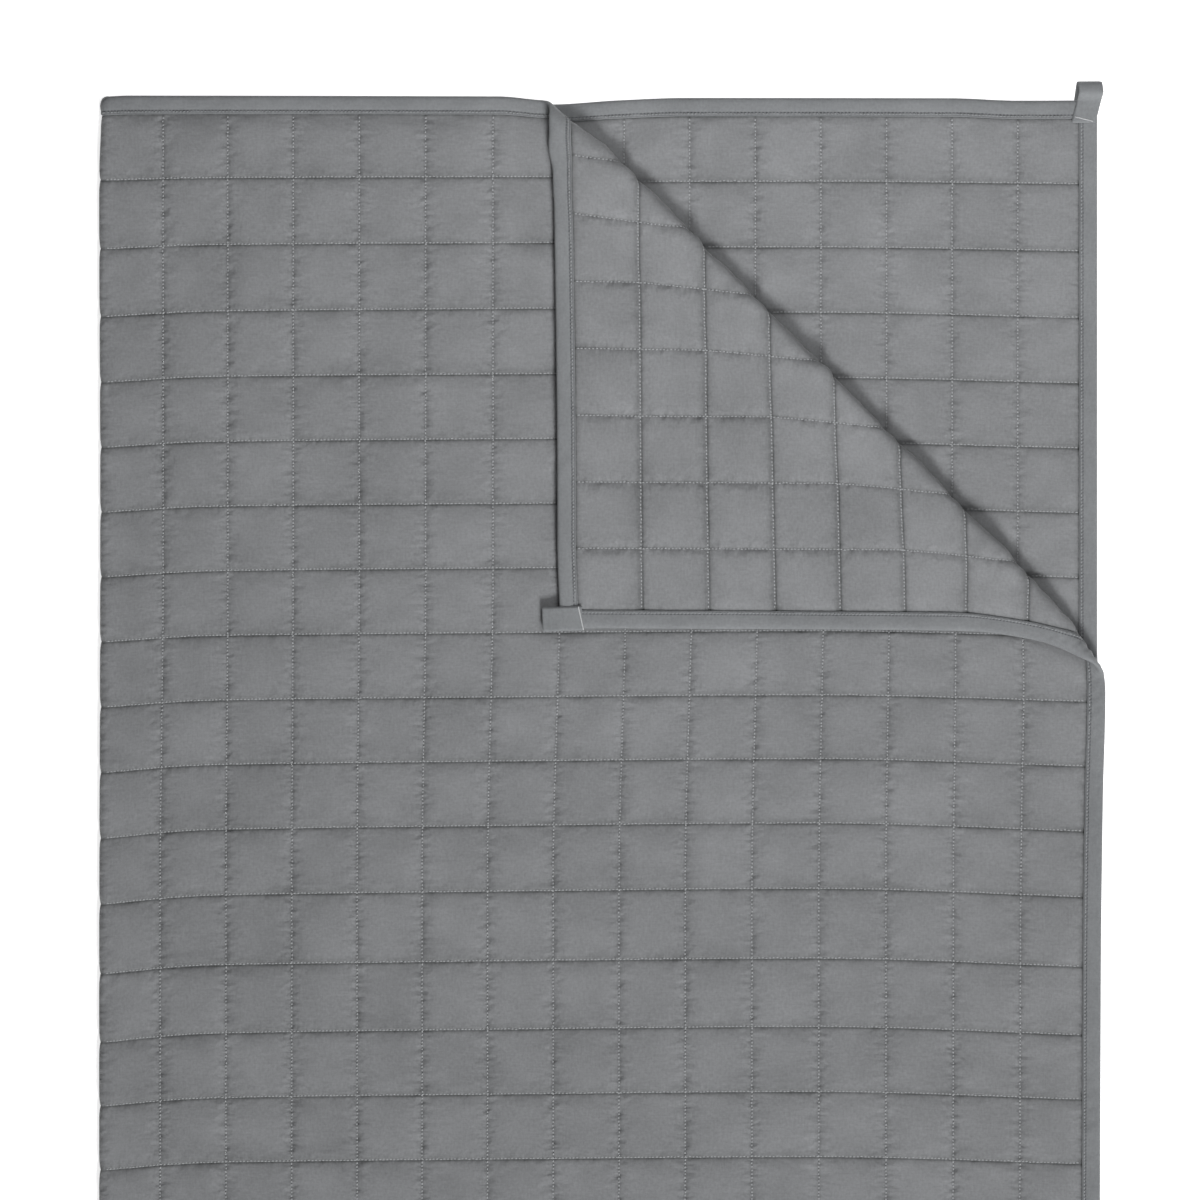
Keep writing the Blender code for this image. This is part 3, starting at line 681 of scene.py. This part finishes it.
def fabric(kind):
    """Woven cloth, on the piece's own flat UV map in metres."""
    material, tree, shader, place = new_material(kind.name)

    def added(value, weight, total):
        return reckoned(tree, "MULTIPLY_ADD", value, weight, total)

    weave = shared(tree, WEAVE_GROUP, place, Thread_Pitch=kind.pitch, Slub=kind.slub)
    shade = reckoned(tree, "SUBTRACT", weave["Shade"], MEAN_SHADE)
    # Grain and uneven tone, the larger patches partly painted shade and sheen of the cloth's slight
    # waves
    for size, weight in TONE_AND_SHADE_PATCHES:
        shade = added(shared(tree, MOTTLE_GROUP, place, Size=size)["Shade"], weight, shade)
    height = reckoned(tree, "MULTIPLY", weave["Height"], kind.depth)
    if kind.puckers:
        strengths = {"Columns": PUCKER_COLUMNS, "Rows": PUCKER_ROWS}
        puckers = shared(tree, PUCKER_AND_SHADE_GROUP, place, **strengths)
        height = added(puckers["Height"], kind.puckers, height)
        # Painted shade: dark lines beside the seams, where their crevices and the cells' slopes lie
        # in shade
        for seam_shade in SEAM_SHADES:
            painted_seam_shade = shared(
                tree,
                PUCKER_AND_SHADE_GROUP,
                place,
                Reach=seam_shade.reach,
                Row_Offset=seam_shade.offset,
                Columns=seam_shade.columns,
                Rows=seam_shade.rows,
            )
            shade = added(painted_seam_shade["Near Seam"], seam_shade.weight, shade)
        # Painted shade along the binding's inner edge, where the cloth meets the tape
        border = shared(tree, BORDER_GROUP, place, Reach=BORDER_SHADE_REACH)
        shade = added(border["Near Edge"], BORDER_SHADE_WEIGHT, shade)
    # Painted shade of the grooves beside the binding's stitches
    for groove_shade in kind.grooves:
        line = shared(tree, GROOVE_SHADE_GROUP, place, Place=groove_shade.place, Reach=groove_shade.reach)
        shade = added(line[groove_shade.output], groove_shade.weight, shade)
    links = {0: shade, 6: kind.dark, 7: kind.light}
    colour = wired(tree, "ShaderNodeMix", links, data_type="RGBA", clamp_factor=False)
    tree.links.new(colour.outputs[2], shader.inputs["Base Color"])
    roughness = added(weave["Shade"], SHADE_ROUGHNESS, kind.roughness)
    tree.links.new(roughness, shader.inputs["Roughness"])
    shader.inputs["Sheen Weight"].default_value = kind.sheen
    shader.inputs["Sheen Roughness"].default_value = SHEEN_ROUGHNESS
    shader.inputs["Specular IOR Level"].default_value = CLOTH_GLOSS
    raise_surface(tree, shader, height)
    return material


def thread(kind):
    """Twisted sewing thread, on the piece's own flat UV map in metres."""
    material, tree, shader, place = new_material(kind.name)
    mottle = shared(tree, MOTTLE_GROUP, place, Size=THREAD_PATCH)["Shade"]
    dark = tuple(part * THREAD_DARK for part in kind.colour[:3]) + (1,)
    links = {0: mottle, 6: dark, 7: kind.colour}
    mix = wired(tree, "ShaderNodeMix", links, data_type="RGBA")
    tree.links.new(mix.outputs[2], shader.inputs["Base Color"])
    twist = shared(tree, WEAVE_GROUP, place, Thread_Pitch=TWIST_PITCH, Slub=TWIST_SLUB)
    shader.inputs["Roughness"].default_value = kind.roughness
    shader.inputs["Sheen Weight"].default_value = THREAD_SHEEN
    raise_surface(tree, shader, reckoned(tree, "MULTIPLY", twist["Height"], TWIST_DEPTH))
    return material


# Making pieces


def mesh_of(flat, name, mirrored=False):
    """The mesh of a finished flat shape, its faces turned over if lay() is to mirror it."""
    if mirrored:
        bmesh.ops.reverse_faces(flat, faces=flat.faces[:])
    mesh = bpy.data.meshes.new(name)
    flat.to_mesh(mesh)
    flat.free()
    return mesh


def linked(name, data):
    """A new object in the scene."""
    piece = bpy.data.objects.new(name, data)
    bpy.context.scene.collection.objects.link(piece)
    return piece


def cloth_object(name, mesh, flat, points, material):
    """A smooth object of a mesh whose points are given, with their flat places as its UV map."""
    mesh.name = name
    mesh.vertices.foreach_set("co", np.asarray(points, np.float32).ravel())
    corner = np.empty(len(mesh.loops), np.int32)
    mesh.loops.foreach_get("vertex_index", corner)
    uv = mesh.uv_layers.new(name="flat")
    uv.data.foreach_set("uv", np.asarray(flat, np.float32)[corner, :2].ravel())
    mesh.materials.clear()
    mesh.materials.append(material)
    mesh.shade_smooth()
    mesh.update()
    return linked(name, mesh)


def grid_on(columns, rows):
    """A flat grid with its lines at these places."""
    flat = bmesh.new()
    segments = len(columns) - 1, len(rows) - 1
    bmesh.ops.create_grid(flat, x_segments=segments[0], y_segments=segments[1], size=1)
    for vertex in flat.verts:
        column = round((vertex.co.x + 1) / 2 * segments[0])
        row = round((vertex.co.y + 1) / 2 * segments[1])
        vertex.co = (columns[column], rows[row], 0)
    return flat


def thicken(flat, half):
    """Gives a flat sheet two faces, each as far as this from its middle."""
    bmesh.ops.solidify(flat, geom=flat.faces[:], thickness=2 * half)
    heights = [vertex.co.z for vertex in flat.verts]
    middle = (min(heights) + max(heights)) / 2
    for vertex in flat.verts:
        vertex.co.z = half if vertex.co.z > middle else -half
    bmesh.ops.recalc_face_normals(flat, faces=flat.faces[:])


def read_points(mesh):
    points = np.empty(len(mesh.vertices) * 3)
    mesh.vertices.foreach_get("co", points)
    return points.reshape(-1, 3)


def flat_places(face):
    """The places across and down of a face's corners."""
    return np.array([vertex.co[:2] for vertex in face.verts]).T


# The quilted body

LEVEL_NORMAL = 0.5
FOLD_CUTS = (0.25, 0.5, 0.75, 1)


def gathered_cuts(at, lines):
    """Moves evenly spaced cuts closer to the seams that they lie between."""
    lines = np.asarray(lines)
    line = np.clip(np.searchsorted(lines, at) - 1, 0, len(lines) - 2)
    size = lines[line + 1] - lines[line]
    share = (at - lines[line]) / size
    even = np.linspace(0, 1, len(CUT_PLACES))
    return lines[line] + size * np.interp(share, even, CUT_PLACES)


def is_seen(face):
    """Whether a face of the flat quilt is bent or can be seen once the blanket is folded."""
    across, down = flat_places(face)
    past = past_turn(across, down)
    if across.mean() < -FOLD_ARC:
        return face.normal.z < 0 and bool(np.any(past > 0))
    if face.normal.z < 0:
        return across.mean() > FOLD_ARC and bool(np.any(past > -SMALL))
    return not np.all(under_flap(across, down, FLAP_COVER) & (past < 0))


def under_flap(across, down, cover):
    """Which places lie under the turned-back corner, this far or more from its edges."""
    x, y, _ = laid_flat(across, down)
    return (x > FLAP_LEFT + cover) & (y > FLAP_BOTTOM + cover)


def cut_finer(flat, columns, rows):
    """Cuts the cells that can be seen, and cuts the roll once more."""
    long_edges = set()
    for face in flat.faces:
        if abs(face.normal.z) < LEVEL_NORMAL or not is_seen(face):
            continue
        past = past_turn(*flat_places(face))
        bent = past.max() > 0 and past.min() < BENT_REACH
        shortest = BENT_EDGE if bent else LONG_EDGE
        long_edges.update(edge for edge in face.edges if edge.calc_length() > shortest)
    # Taken in the mesh's own order, so that each run gives the same mesh
    in_order = [edge for edge in flat.edges if edge in long_edges]
    bmesh.ops.subdivide_edges(flat, edges=in_order, cuts=CELL_CUTS, use_grid_fill=True)
    flat.verts.index_update()
    across, down, _ = np.array([vertex.co for vertex in flat.verts]).T
    past = past_turn(gathered_cuts(across, columns), gathered_cuts(down, rows))
    rolled = (across > FOLD_ARC) & (past > -ROLL_MARGIN) & (past < ROLL_REACH)
    finer = [edge for edge in flat.edges if any(rolled[vertex.index] for vertex in edge.verts)]
    bmesh.ops.subdivide_edges(flat, edges=finer, cuts=1, use_grid_fill=True)


def make_quilt(material):
    """The quilted body, fine where it can be seen."""
    held = TAPE_WIDTH + TAPE_GAP
    rim = TAPE_WALL + TAPE_GAP
    folds = [side * FOLD_ARC * share for side in (-1, 1) for share in FOLD_CUTS]
    borders = [side * (WIDTH / 2 - border) for side in (-1, 1) for border in (rim, held)]
    columns = sorted([*COLUMN_SEAMS, *folds, *borders])
    rows = sorted([*ROW_SEAMS, rim, held, LENGTH - held, LENGTH - rim])
    flat = grid_on(columns, rows)
    thicken(flat, SEAM_HALF)
    cut_finer(flat, columns, rows)
    mesh = mesh_of(flat, "quilted_cloth", mirrored=True)
    points = read_points(mesh)
    across, down = gathered_cuts(points[:, 0], columns), gathered_cuts(points[:, 1], rows)
    folded = cloth_face(across, down, np.sign(points[:, 2]))
    return cloth_object("quilted_cloth", mesh, np.stack([across, down], 1), folded, material)


# The binding

# Its outline from its inner edge on one face to its outer edge: inward of that edge, and out
BINDING_LINE = [
    (0.0136, 0.00075),
    (0.0137, 0.00115),
    (0.0133, 0.00150),
    (0.0122, 0.00145),
    (0.0110, 0.00125),
    (0.0098, 0.00150),
    (0.0070, 0.00180),
    (0.0038, 0.00185),
    (0.0016, 0.00165),
    (0.0005, 0.00110),
    (0.0000, 0.00000),
]
# The slot in the tape that holds the quilted body: half its height, and places along its walls,
# close enough for the walls to follow the roll
BINDING_SLOT_HALF = 0.0006
BINDING_SLOT_PLACES = [0.0105, 0.0075, 0.0043, 0.0012]
SIDE_STEPS = {"across": 22 * COLUMNS, "down": 22 * ROWS}
CORNER_ROUND = 0.0030
RING_RADIUS = 2
RING_WELD = 1e-5
# The tape's faces by their distance out of its middle, and where its waves fade out inward
TAPE_FACE = (0.0004, 0.0012)
WAVES_START = (0, 0.004)
WAVES_END = (0.0118, 0.0136)
# The creases where the turn gathers the tape of the side: where they start and fade out past the
# turn, how they slant along and across the tape, how far apart and how deep they are
GATHERS_START = (-0.060, -0.012)
GATHERS_END = (0.012, 0.05)
GATHERS_SLANT = (0.8, 2.4)
GATHERS_PITCH = 0.0084
GATHERS_DEPTH = 0.00045


def binding_outline():
    """The closed outline of the tape: its outer face, and the slot that holds the quilted body."""
    lower = [(inward, -out) for inward, out in reversed(BINDING_LINE[:-1])]
    wall = [(inward, -BINDING_SLOT_HALF) for inward in BINDING_SLOT_PLACES]
    other_wall = [(inward, -out) for inward, out in reversed(wall)]
    return np.array([*BINDING_LINE, *lower, *wall, *other_wall])


def frame_place(step, inward):
    """A place on the frame that lies inward of the blanket's edge, for steps that run round it."""
    counts = [SIDE_STEPS["across"], SIDE_STEPS["down"]] * 2
    starts = np.cumsum([0, *counts])
    side = np.searchsorted(starts, step, side="right") - 1
    share = (step - starts[side]) / np.array(counts)[side]
    half = WIDTH / 2 - inward
    first, last = inward, LENGTH - inward
    corner_across = np.stack([-half, half, half, -half, -half])
    corner_down = np.stack([first, first, last, last, first])
    pick = np.arange(len(step))
    across = corner_across[side, pick] * (1 - share) + corner_across[side + 1, pick] * share
    down = corner_down[side, pick] * (1 - share) + corner_down[side + 1, pick] * share
    return rounded_corners(across, down)


def rounded_corners(across, down):
    """Draws the points near a corner in, so that the corner is round."""
    reach_x = np.maximum(np.abs(across) - (WIDTH / 2 - CORNER_ROUND), 0)
    reach_y = np.maximum(np.abs(down - LENGTH / 2) - (LENGTH / 2 - CORNER_ROUND), 0)
    reach = np.hypot(reach_x, reach_y)
    longest = np.maximum(np.maximum(reach_x, reach_y), SMALL)
    keep = np.where(reach > longest, longest / np.maximum(reach, SMALL), 1)
    across = across - np.sign(across) * reach_x * (1 - keep)
    return across, down - np.sign(down - LENGTH / 2) * reach_y * (1 - keep)


def binding_relief(across, down, inward, out):
    """Slight waves in the tape, and slanting creases where the turn gathers it."""
    face = np.sign(out) * eased(np.abs(out), *TAPE_FACE)
    level = face * eased(inward, *WAVES_START) * (1 - eased(inward, *WAVES_END))
    relief = out + level * rippled(across, down, TAPE_WAVES)
    past = past_turn(across, down)
    at_side = (across > WIDTH / 2 - 2 * TAPE_WIDTH) & (down > 2 * TAPE_WIDTH) & (down < LENGTH / 2)
    gathers = at_side * eased(past, *GATHERS_START) * (1 - eased(past, *GATHERS_END))
    slant_along, slant_across = GATHERS_SLANT
    slant = ((across + down) * slant_along + inward * slant_across) / GATHERS_PITCH
    return relief + level * gathers * np.sin(slant * 2 * math.pi) * GATHERS_DEPTH


def make_binding(material):
    """A tape folded over all four edges, swept round the blanket with mitred corners."""
    outline = binding_outline()
    around = len(outline)
    steps = 2 * (SIDE_STEPS["across"] + SIDE_STEPS["down"])
    flat = bmesh.new()
    bmesh.ops.create_grid(flat, x_segments=steps, y_segments=around, size=1)
    for vertex in flat.verts:
        angle = vertex.co.x * math.pi
        turn = vertex.co.y * math.pi
        reach = RING_RADIUS + math.cos(turn)
        vertex.co = (reach * math.cos(angle), reach * math.sin(angle), math.sin(turn))
    bmesh.ops.remove_doubles(flat, verts=flat.verts[:], dist=RING_WELD)
    bmesh.ops.recalc_face_normals(flat, faces=flat.faces[:])
    mesh = mesh_of(flat, "binding_tape")
    ring = read_points(mesh)
    angle = np.arctan2(ring[:, 1], ring[:, 0])
    turn = np.arctan2(ring[:, 2], np.hypot(ring[:, 0], ring[:, 1]) - RING_RADIUS)
    step = np.round((angle / math.pi + 1) / 2 * steps) % steps
    spot = np.round((turn / math.pi + 1) / 2 * around).astype(int) % around
    inward, out = outline[spot].T
    across, down = frame_place(step.astype(int), inward)
    folded = lay(across, down, binding_relief(across, down, inward, out))
    # The map runs along the tape and inward from its outer edge, so that its weave follows it.
    along_tape = np.where(np.abs(across) > WIDTH / 2 - inward - SMALL, down, across)
    flat_map = np.stack([along_tape, np.sign(out) * inward], 1)
    return cloth_object("binding_tape", mesh, flat_map, folded, material)


# The corner loops

NOSE_STEPS = 18
LEG_STEPS = 16
TAPE_COLUMNS = 8
LEG_RISE_START = 0.0003
# The tape's soft edges: how its columns close up towards them, and how thin it gets there
EDGE_COLUMNS = 0.8
EDGE_THIN = 0.55
EDGE_SHARP = 6
LOOP_WAVE_SPAN = 0.01


def loop_path(loop):
    """The loop's middle line: down, out and its share of the lean, between its sewn ends."""
    height = (loop.back - loop.front) / 2
    nose = min(height * 2, loop.reach - loop.neck)
    nose_start = nose - loop.reach
    middle = (loop.front + loop.back) / 2
    leg = np.arange(LEG_STEPS) / LEG_STEPS
    turn = np.linspace(0, math.pi, NOSE_STEPS + 1)
    down_leg = LOOP_BASE + (nose_start - LOOP_BASE) * leg
    rise = eased(-down_leg, -LEG_RISE_START, -nose_start)
    front_out = -LOOP_OFFSET + (loop.front + LOOP_OFFSET) * rise
    back_out = LOOP_OFFSET + (loop.back - LOOP_OFFSET) * rise
    down = np.concatenate([down_leg, nose_start - nose * np.sin(turn), down_leg[::-1]])
    out = np.concatenate([front_out, middle - height * np.cos(turn), back_out[::-1]])
    share = np.concatenate([leg, 1 - turn / math.pi / 2, leg[::-1] / 2])
    return down, out, share


def make_loop(loop, material):
    """A tape sewn to both faces of a corner, with its thickness and soft edges."""
    down, out, share = loop_path(loop)
    tangent = np.stack([np.gradient(down), np.gradient(out)], 1)
    tangent /= np.linalg.norm(tangent, axis=1)[:, None]
    flat = bmesh.new()
    bmesh.ops.create_grid(flat, x_segments=TAPE_COLUMNS, y_segments=len(down) - 1, size=1)
    thicken(flat, 1)
    mesh = mesh_of(flat, loop.piece, mirrored=True)
    grid = read_points(mesh)
    step = np.round((grid[:, 1] + 1) / 2 * (len(down) - 1)).astype(int)
    sideways = np.sign(grid[:, 0]) * np.abs(grid[:, 0]) ** EDGE_COLUMNS
    thick = LOOP_THICK / 2 * (1 - EDGE_THIN * np.abs(sideways) ** EDGE_SHARP)
    offset = grid[:, 2] * thick + rippled(sideways * LOOP_WAVE_SPAN, down[step], LOOP_WAVES)
    at_down = down[step] - tangent[step, 1] * offset
    at_out = out[step] + tangent[step, 0] * offset
    across = loop.centre + loop.lean * share[step] + sideways * LOOP_WIDTH / 2
    length_way = np.cumsum(np.r_[0, np.hypot(np.diff(down), np.diff(out))])[step]
    folded = lay(across, at_down, at_out)
    return cloth_object(loop.piece, mesh, np.stack([across, length_way], 1), folded, material)


# The stitches

STITCH_LONG = 0.0020
STITCH_WIDE = 0.00110
STITCH_HIGH = 0.00040
STITCH_SIZES = (0.86, 1.10)
# A bead's corners turned to lie at the ends of its sides
BEAD_TURN = np.array([[1, -1, 0], [1, 1, 0], [0, 0, math.sqrt(2)]]) / math.sqrt(2)
BEAD_SCALE = (math.sqrt(2), math.sqrt(2), 2)
# How far ahead of a stitch, or above it, its direction is read
STRIDE = 0.0008
TACK_STRIDE = 0.0005
SEAM_INSET = 0.001
SEAM_UNEVEN = 0.00012
SEAM_LIFT = 0.00008
# The roll hides the seams between these distances past the turn
ROLL_HIDES = 0.009
ROLL_SHADES = 0.012
BINDING_STITCH_IN = 0.0118
BINDING_STITCH_OUT = 0.00138
# The bar tacks: how far in on a loop's sewn end, their slant and half their length
Tack = namedtuple("Tack", "piece inward slant half")
TACKS = [
    Tack(piece="open_loop_tack", inward=0.0135, slant=-0.24, half=0.0068),
    Tack(piece="flat_loop_tack", inward=0.0155, slant=0.18, half=0.0085),
]
TACK_PITCH = 0.0008
TACK_SIZE = (0.5, 0.75, 0.7)
TACK_LIFT = 0.0001


def stitch_mesh(count):
    """Many copies of one low bead in one mesh, and the bead's own points."""
    bead = bmesh.new()
    bmesh.ops.create_uvsphere(bead, u_segments=4, v_segments=2, radius=0.5)
    mesh = mesh_of(bead, "stitches")
    one = linked("stitches", mesh)
    one.modifiers.new("Row", "ARRAY").count = count
    graph = bpy.context.evaluated_depsgraph_get()
    many = bpy.data.meshes.new_from_object(one.evaluated_get(graph))
    shape = read_points(mesh) @ BEAD_TURN * BEAD_SCALE
    bpy.data.objects.remove(one)
    return many, shape


def make_stitches(name, middles, ahead, upward, flat, material, size=(1, 1, 1)):
    """A row of stitches, each at its middle, pointing ahead and lying on the face."""
    mesh, shape = stitch_mesh(len(middles))
    chance = np.random.default_rng(len(middles))
    ahead = ahead / np.linalg.norm(ahead, axis=1)[:, None]
    upward = upward - ahead * (upward * ahead).sum(1)[:, None]
    upward /= np.linalg.norm(upward, axis=1)[:, None]
    points = middles[:, None, :]
    for way, (base, part, direction) in enumerate(
        zip((STITCH_LONG, STITCH_WIDE, STITCH_HIGH), size, (ahead, np.cross(upward, ahead), upward))
    ):
        length = base * part * chance.uniform(*STITCH_SIZES, len(middles))
        points = points + shape[None, :, way, None] * (direction * length[:, None])[:, None, :]
    places = np.repeat(flat, len(shape), axis=0)
    return cloth_object(name, mesh, places, points.reshape(-1, 3), material)


def seam_places(first, last, fixed, along_width):
    """Flat places of the stitches of one seam between two ends."""
    count = int((last - first) / STITCH_PITCH)
    at = first + (np.arange(count) + 0.5) * STITCH_PITCH
    fixed = np.full(count, fixed)
    way = np.full(count, 1.0 if along_width else 0.0)
    return np.stack([at, fixed, way] if along_width else [fixed, at, way], 1)


def on_face(places, side, lift):
    """Middles, headings and face normals of stitches at flat places."""
    across, down, way = places.T
    middles = cloth_face(across, down, side, lift)
    ahead = cloth_face(across + way * STRIDE, down + (1 - way) * STRIDE, side, lift)
    above = lay(across, down, side * (SEAM_HALF + STRIDE)) - lay(across, down, side * SEAM_HALF)
    return middles, ahead - middles, above


def quilting_places(low, high):
    """Flat places of all the seam stitches between two columns of the blanket."""
    edge = TAPE_WIDTH + SEAM_INSET
    seams = [seam for seam in COLUMN_SEAMS if low < seam < high]
    runs = [seam_places(edge, LENGTH - edge, seam, False) for seam in seams]
    runs += [seam_places(low, high, seam, True) for seam in ROW_SEAMS]
    return np.concatenate(runs)


def make_seams(material):
    """The quilting stitches wherever they can be seen."""
    reach = WIDTH / 2 - TAPE_WIDTH - SEAM_INSET
    upper = quilting_places(FOLD_ARC + SEAM_INSET, reach)
    lower = quilting_places(-reach, -FOLD_ARC)
    hidden = under_flap(upper[:, 0], upper[:, 1], FLAP_COVER_STITCHES)
    past = past_turn(upper[:, 0], upper[:, 1])
    lower_past = past_turn(lower[:, 0], lower[:, 1])
    chance = np.random.default_rng(3)
    made = []
    for name, places, side in (
        ("quilting_stitches_upper", upper[(past < ROLL_HIDES) & ~hidden], 1),
        ("quilting_stitches_flap", upper[past > ROLL_HIDES], -1),
        ("quilting_stitches_lower", lower[lower_past > ROLL_SHADES], -1),
    ):
        places[:, 0] += chance.normal(0, SEAM_UNEVEN, len(places))
        places[:, 1] += chance.normal(0, SEAM_UNEVEN, len(places))
        stitches = on_face(places, side, SEAM_LIFT)
        made.append(make_stitches(name, *stitches, places[:, :2], material))
    return made


def make_binding_stitches(material):
    """One row of stitches on each face of the binding, all round."""
    inset = BINDING_STITCH_IN
    half = WIDTH / 2 - inset
    runs = [seam_places(-half, half, at, True) for at in (inset, LENGTH - inset)]
    runs += [seam_places(inset, LENGTH - inset, at, False) for at in (-half, half)]
    across, down, way = np.concatenate(runs).T
    stride = np.stack([way, 1 - way]) * STRIDE
    return [
        make_row(name, across, down, stride, side * BINDING_STITCH_OUT, side * STRIDE, material)
        for name, side in (("binding_stitches_outer", 1), ("binding_stitches_inner", -1))
    ]


def make_row(name, across, down, stride, out, above, material, size=(1, 1, 1)):
    """Stitches at flat places, all as far out, that point along the stride."""
    middles = lay(across, down, out)
    ahead = lay(across + stride[0], down + stride[1], out) - middles
    upward = lay(across, down, out + above) - middles
    flat = np.stack([across, down], 1)
    return make_stitches(name, middles, ahead, upward, flat, material, size)


def make_tack(tack, loop, material):
    """A short row of stitches across a loop's sewn end on its inner face."""
    at = np.arange(-tack.half, tack.half, TACK_PITCH)
    across, down = loop.centre + at, tack.inward + at * tack.slant
    stride = TACK_STRIDE, tack.slant * TACK_STRIDE
    out = -(LOOP_OFFSET + LOOP_THICK / 2 + TACK_LIFT)
    return make_row(tack.piece, across, down, stride, out, -TACK_STRIDE, material, TACK_SIZE)


# The setting

FLOOR_REACH = 8
FLOOR_COLOUR = (0.93, 0.93, 0.93, 1)
FLOOR_ROUGHNESS = 0.9
FLOOR_GLOW = 0.72
WHITE = (1, 1, 1, 1)
Light = namedtuple("Light", "name place target size power")
LIGHTS = [
    Light("key", (1.90, -5.9, 4.9), (0.05, 0.6, 0), 2.0, 830),
    Light("head glow", (0.20, 1.2, 0.8), (0.20, 1.2, 0), 0.8, 4.8),
    Light("side glow", (0.30, 0.40, 0.8), (0.30, 0.40, 0), 0.8, 1.1),
]
WORLD_GLOW = 0.06
CAMERA_HEIGHT = 12.0
VIEW_SIZE = 0.89460
VIEW_PLANE = 0.008
SENSOR = 36
FARTHEST = 200


def make_floor():
    """A pale floor that the blanket lies on, for the picture alone."""
    flat = bmesh.new()
    bmesh.ops.create_grid(flat, x_segments=1, y_segments=1, size=FLOOR_REACH)
    floor = linked("floor", mesh_of(flat, "floor"))
    material = bpy.data.materials.new("Pale floor")
    material.use_nodes = True
    shader = material.node_tree.nodes["Principled BSDF"]
    shader.inputs["Base Color"].default_value = FLOOR_COLOUR
    shader.inputs["Roughness"].default_value = FLOOR_ROUGHNESS
    shader.inputs["Emission Color"].default_value = WHITE
    shader.inputs["Emission Strength"].default_value = FLOOR_GLOW
    floor.data.materials.append(material)


def make_light(kind):
    """A square light at its place, turned to its target."""
    data = bpy.data.lights.new(kind.name, "AREA")
    data.shape = "RECTANGLE"
    data.size = data.size_y = kind.size
    data.energy = kind.power
    light = linked(kind.name, data)
    light.location = kind.place
    aim = Vector(kind.target) - Vector(kind.place)
    light.rotation_euler = aim.to_track_quat("-Z", "Y").to_euler()


def make_setting():
    """The floor, the lights, and the camera straight above as in the photograph."""
    make_floor()
    for kind in LIGHTS:
        make_light(kind)
    world = bpy.data.worlds.new("studio")
    world.use_nodes = True
    world.node_tree.nodes["Background"].inputs[0].default_value = WHITE
    world.node_tree.nodes["Background"].inputs[1].default_value = WORLD_GLOW
    bpy.context.scene.world = world
    data = bpy.data.cameras.new("camera")
    data.sensor_width = SENSOR
    data.lens = SENSOR * (CAMERA_HEIGHT - VIEW_PLANE) / VIEW_SIZE
    data.clip_end = FARTHEST
    camera = linked("camera", data)
    camera.location = (0, TURN_Y, CAMERA_HEIGHT)
    bpy.context.scene.camera = camera
    bpy.context.scene.view_settings.view_transform = "Standard"


def main():
    cloth, tape, webbing = map(fabric, (QUILTED_COTTON, BINDING_TAPE, LOOP_TAPE))
    sewing, edging, white = map(thread, (SEAM_THREAD, BINDING_THREAD, TACK_THREAD))
    quilt = make_quilt(cloth)
    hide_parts("quilt")
    binding = make_binding(tape)
    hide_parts("binding")
    pieces = [(quilt, "quilted_cloth"), (binding, "binding_tape")]
    for loop in LOOPS:
        piece = make_loop(loop, webbing)
        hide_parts(loop.node)
        pieces.append((piece, "loop_tape"))
    pieces += [(piece, "quilted_cloth") for piece in make_seams(sewing)]
    pieces += [(piece, "binding_tape") for piece in make_binding_stitches(edging)]
    pieces += [(make_tack(tack, loop, white), "loop_tape") for tack, loop in zip(TACKS, LOOPS)]
    for piece, slot in pieces:
        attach(piece, "root")
    make_setting()


main()
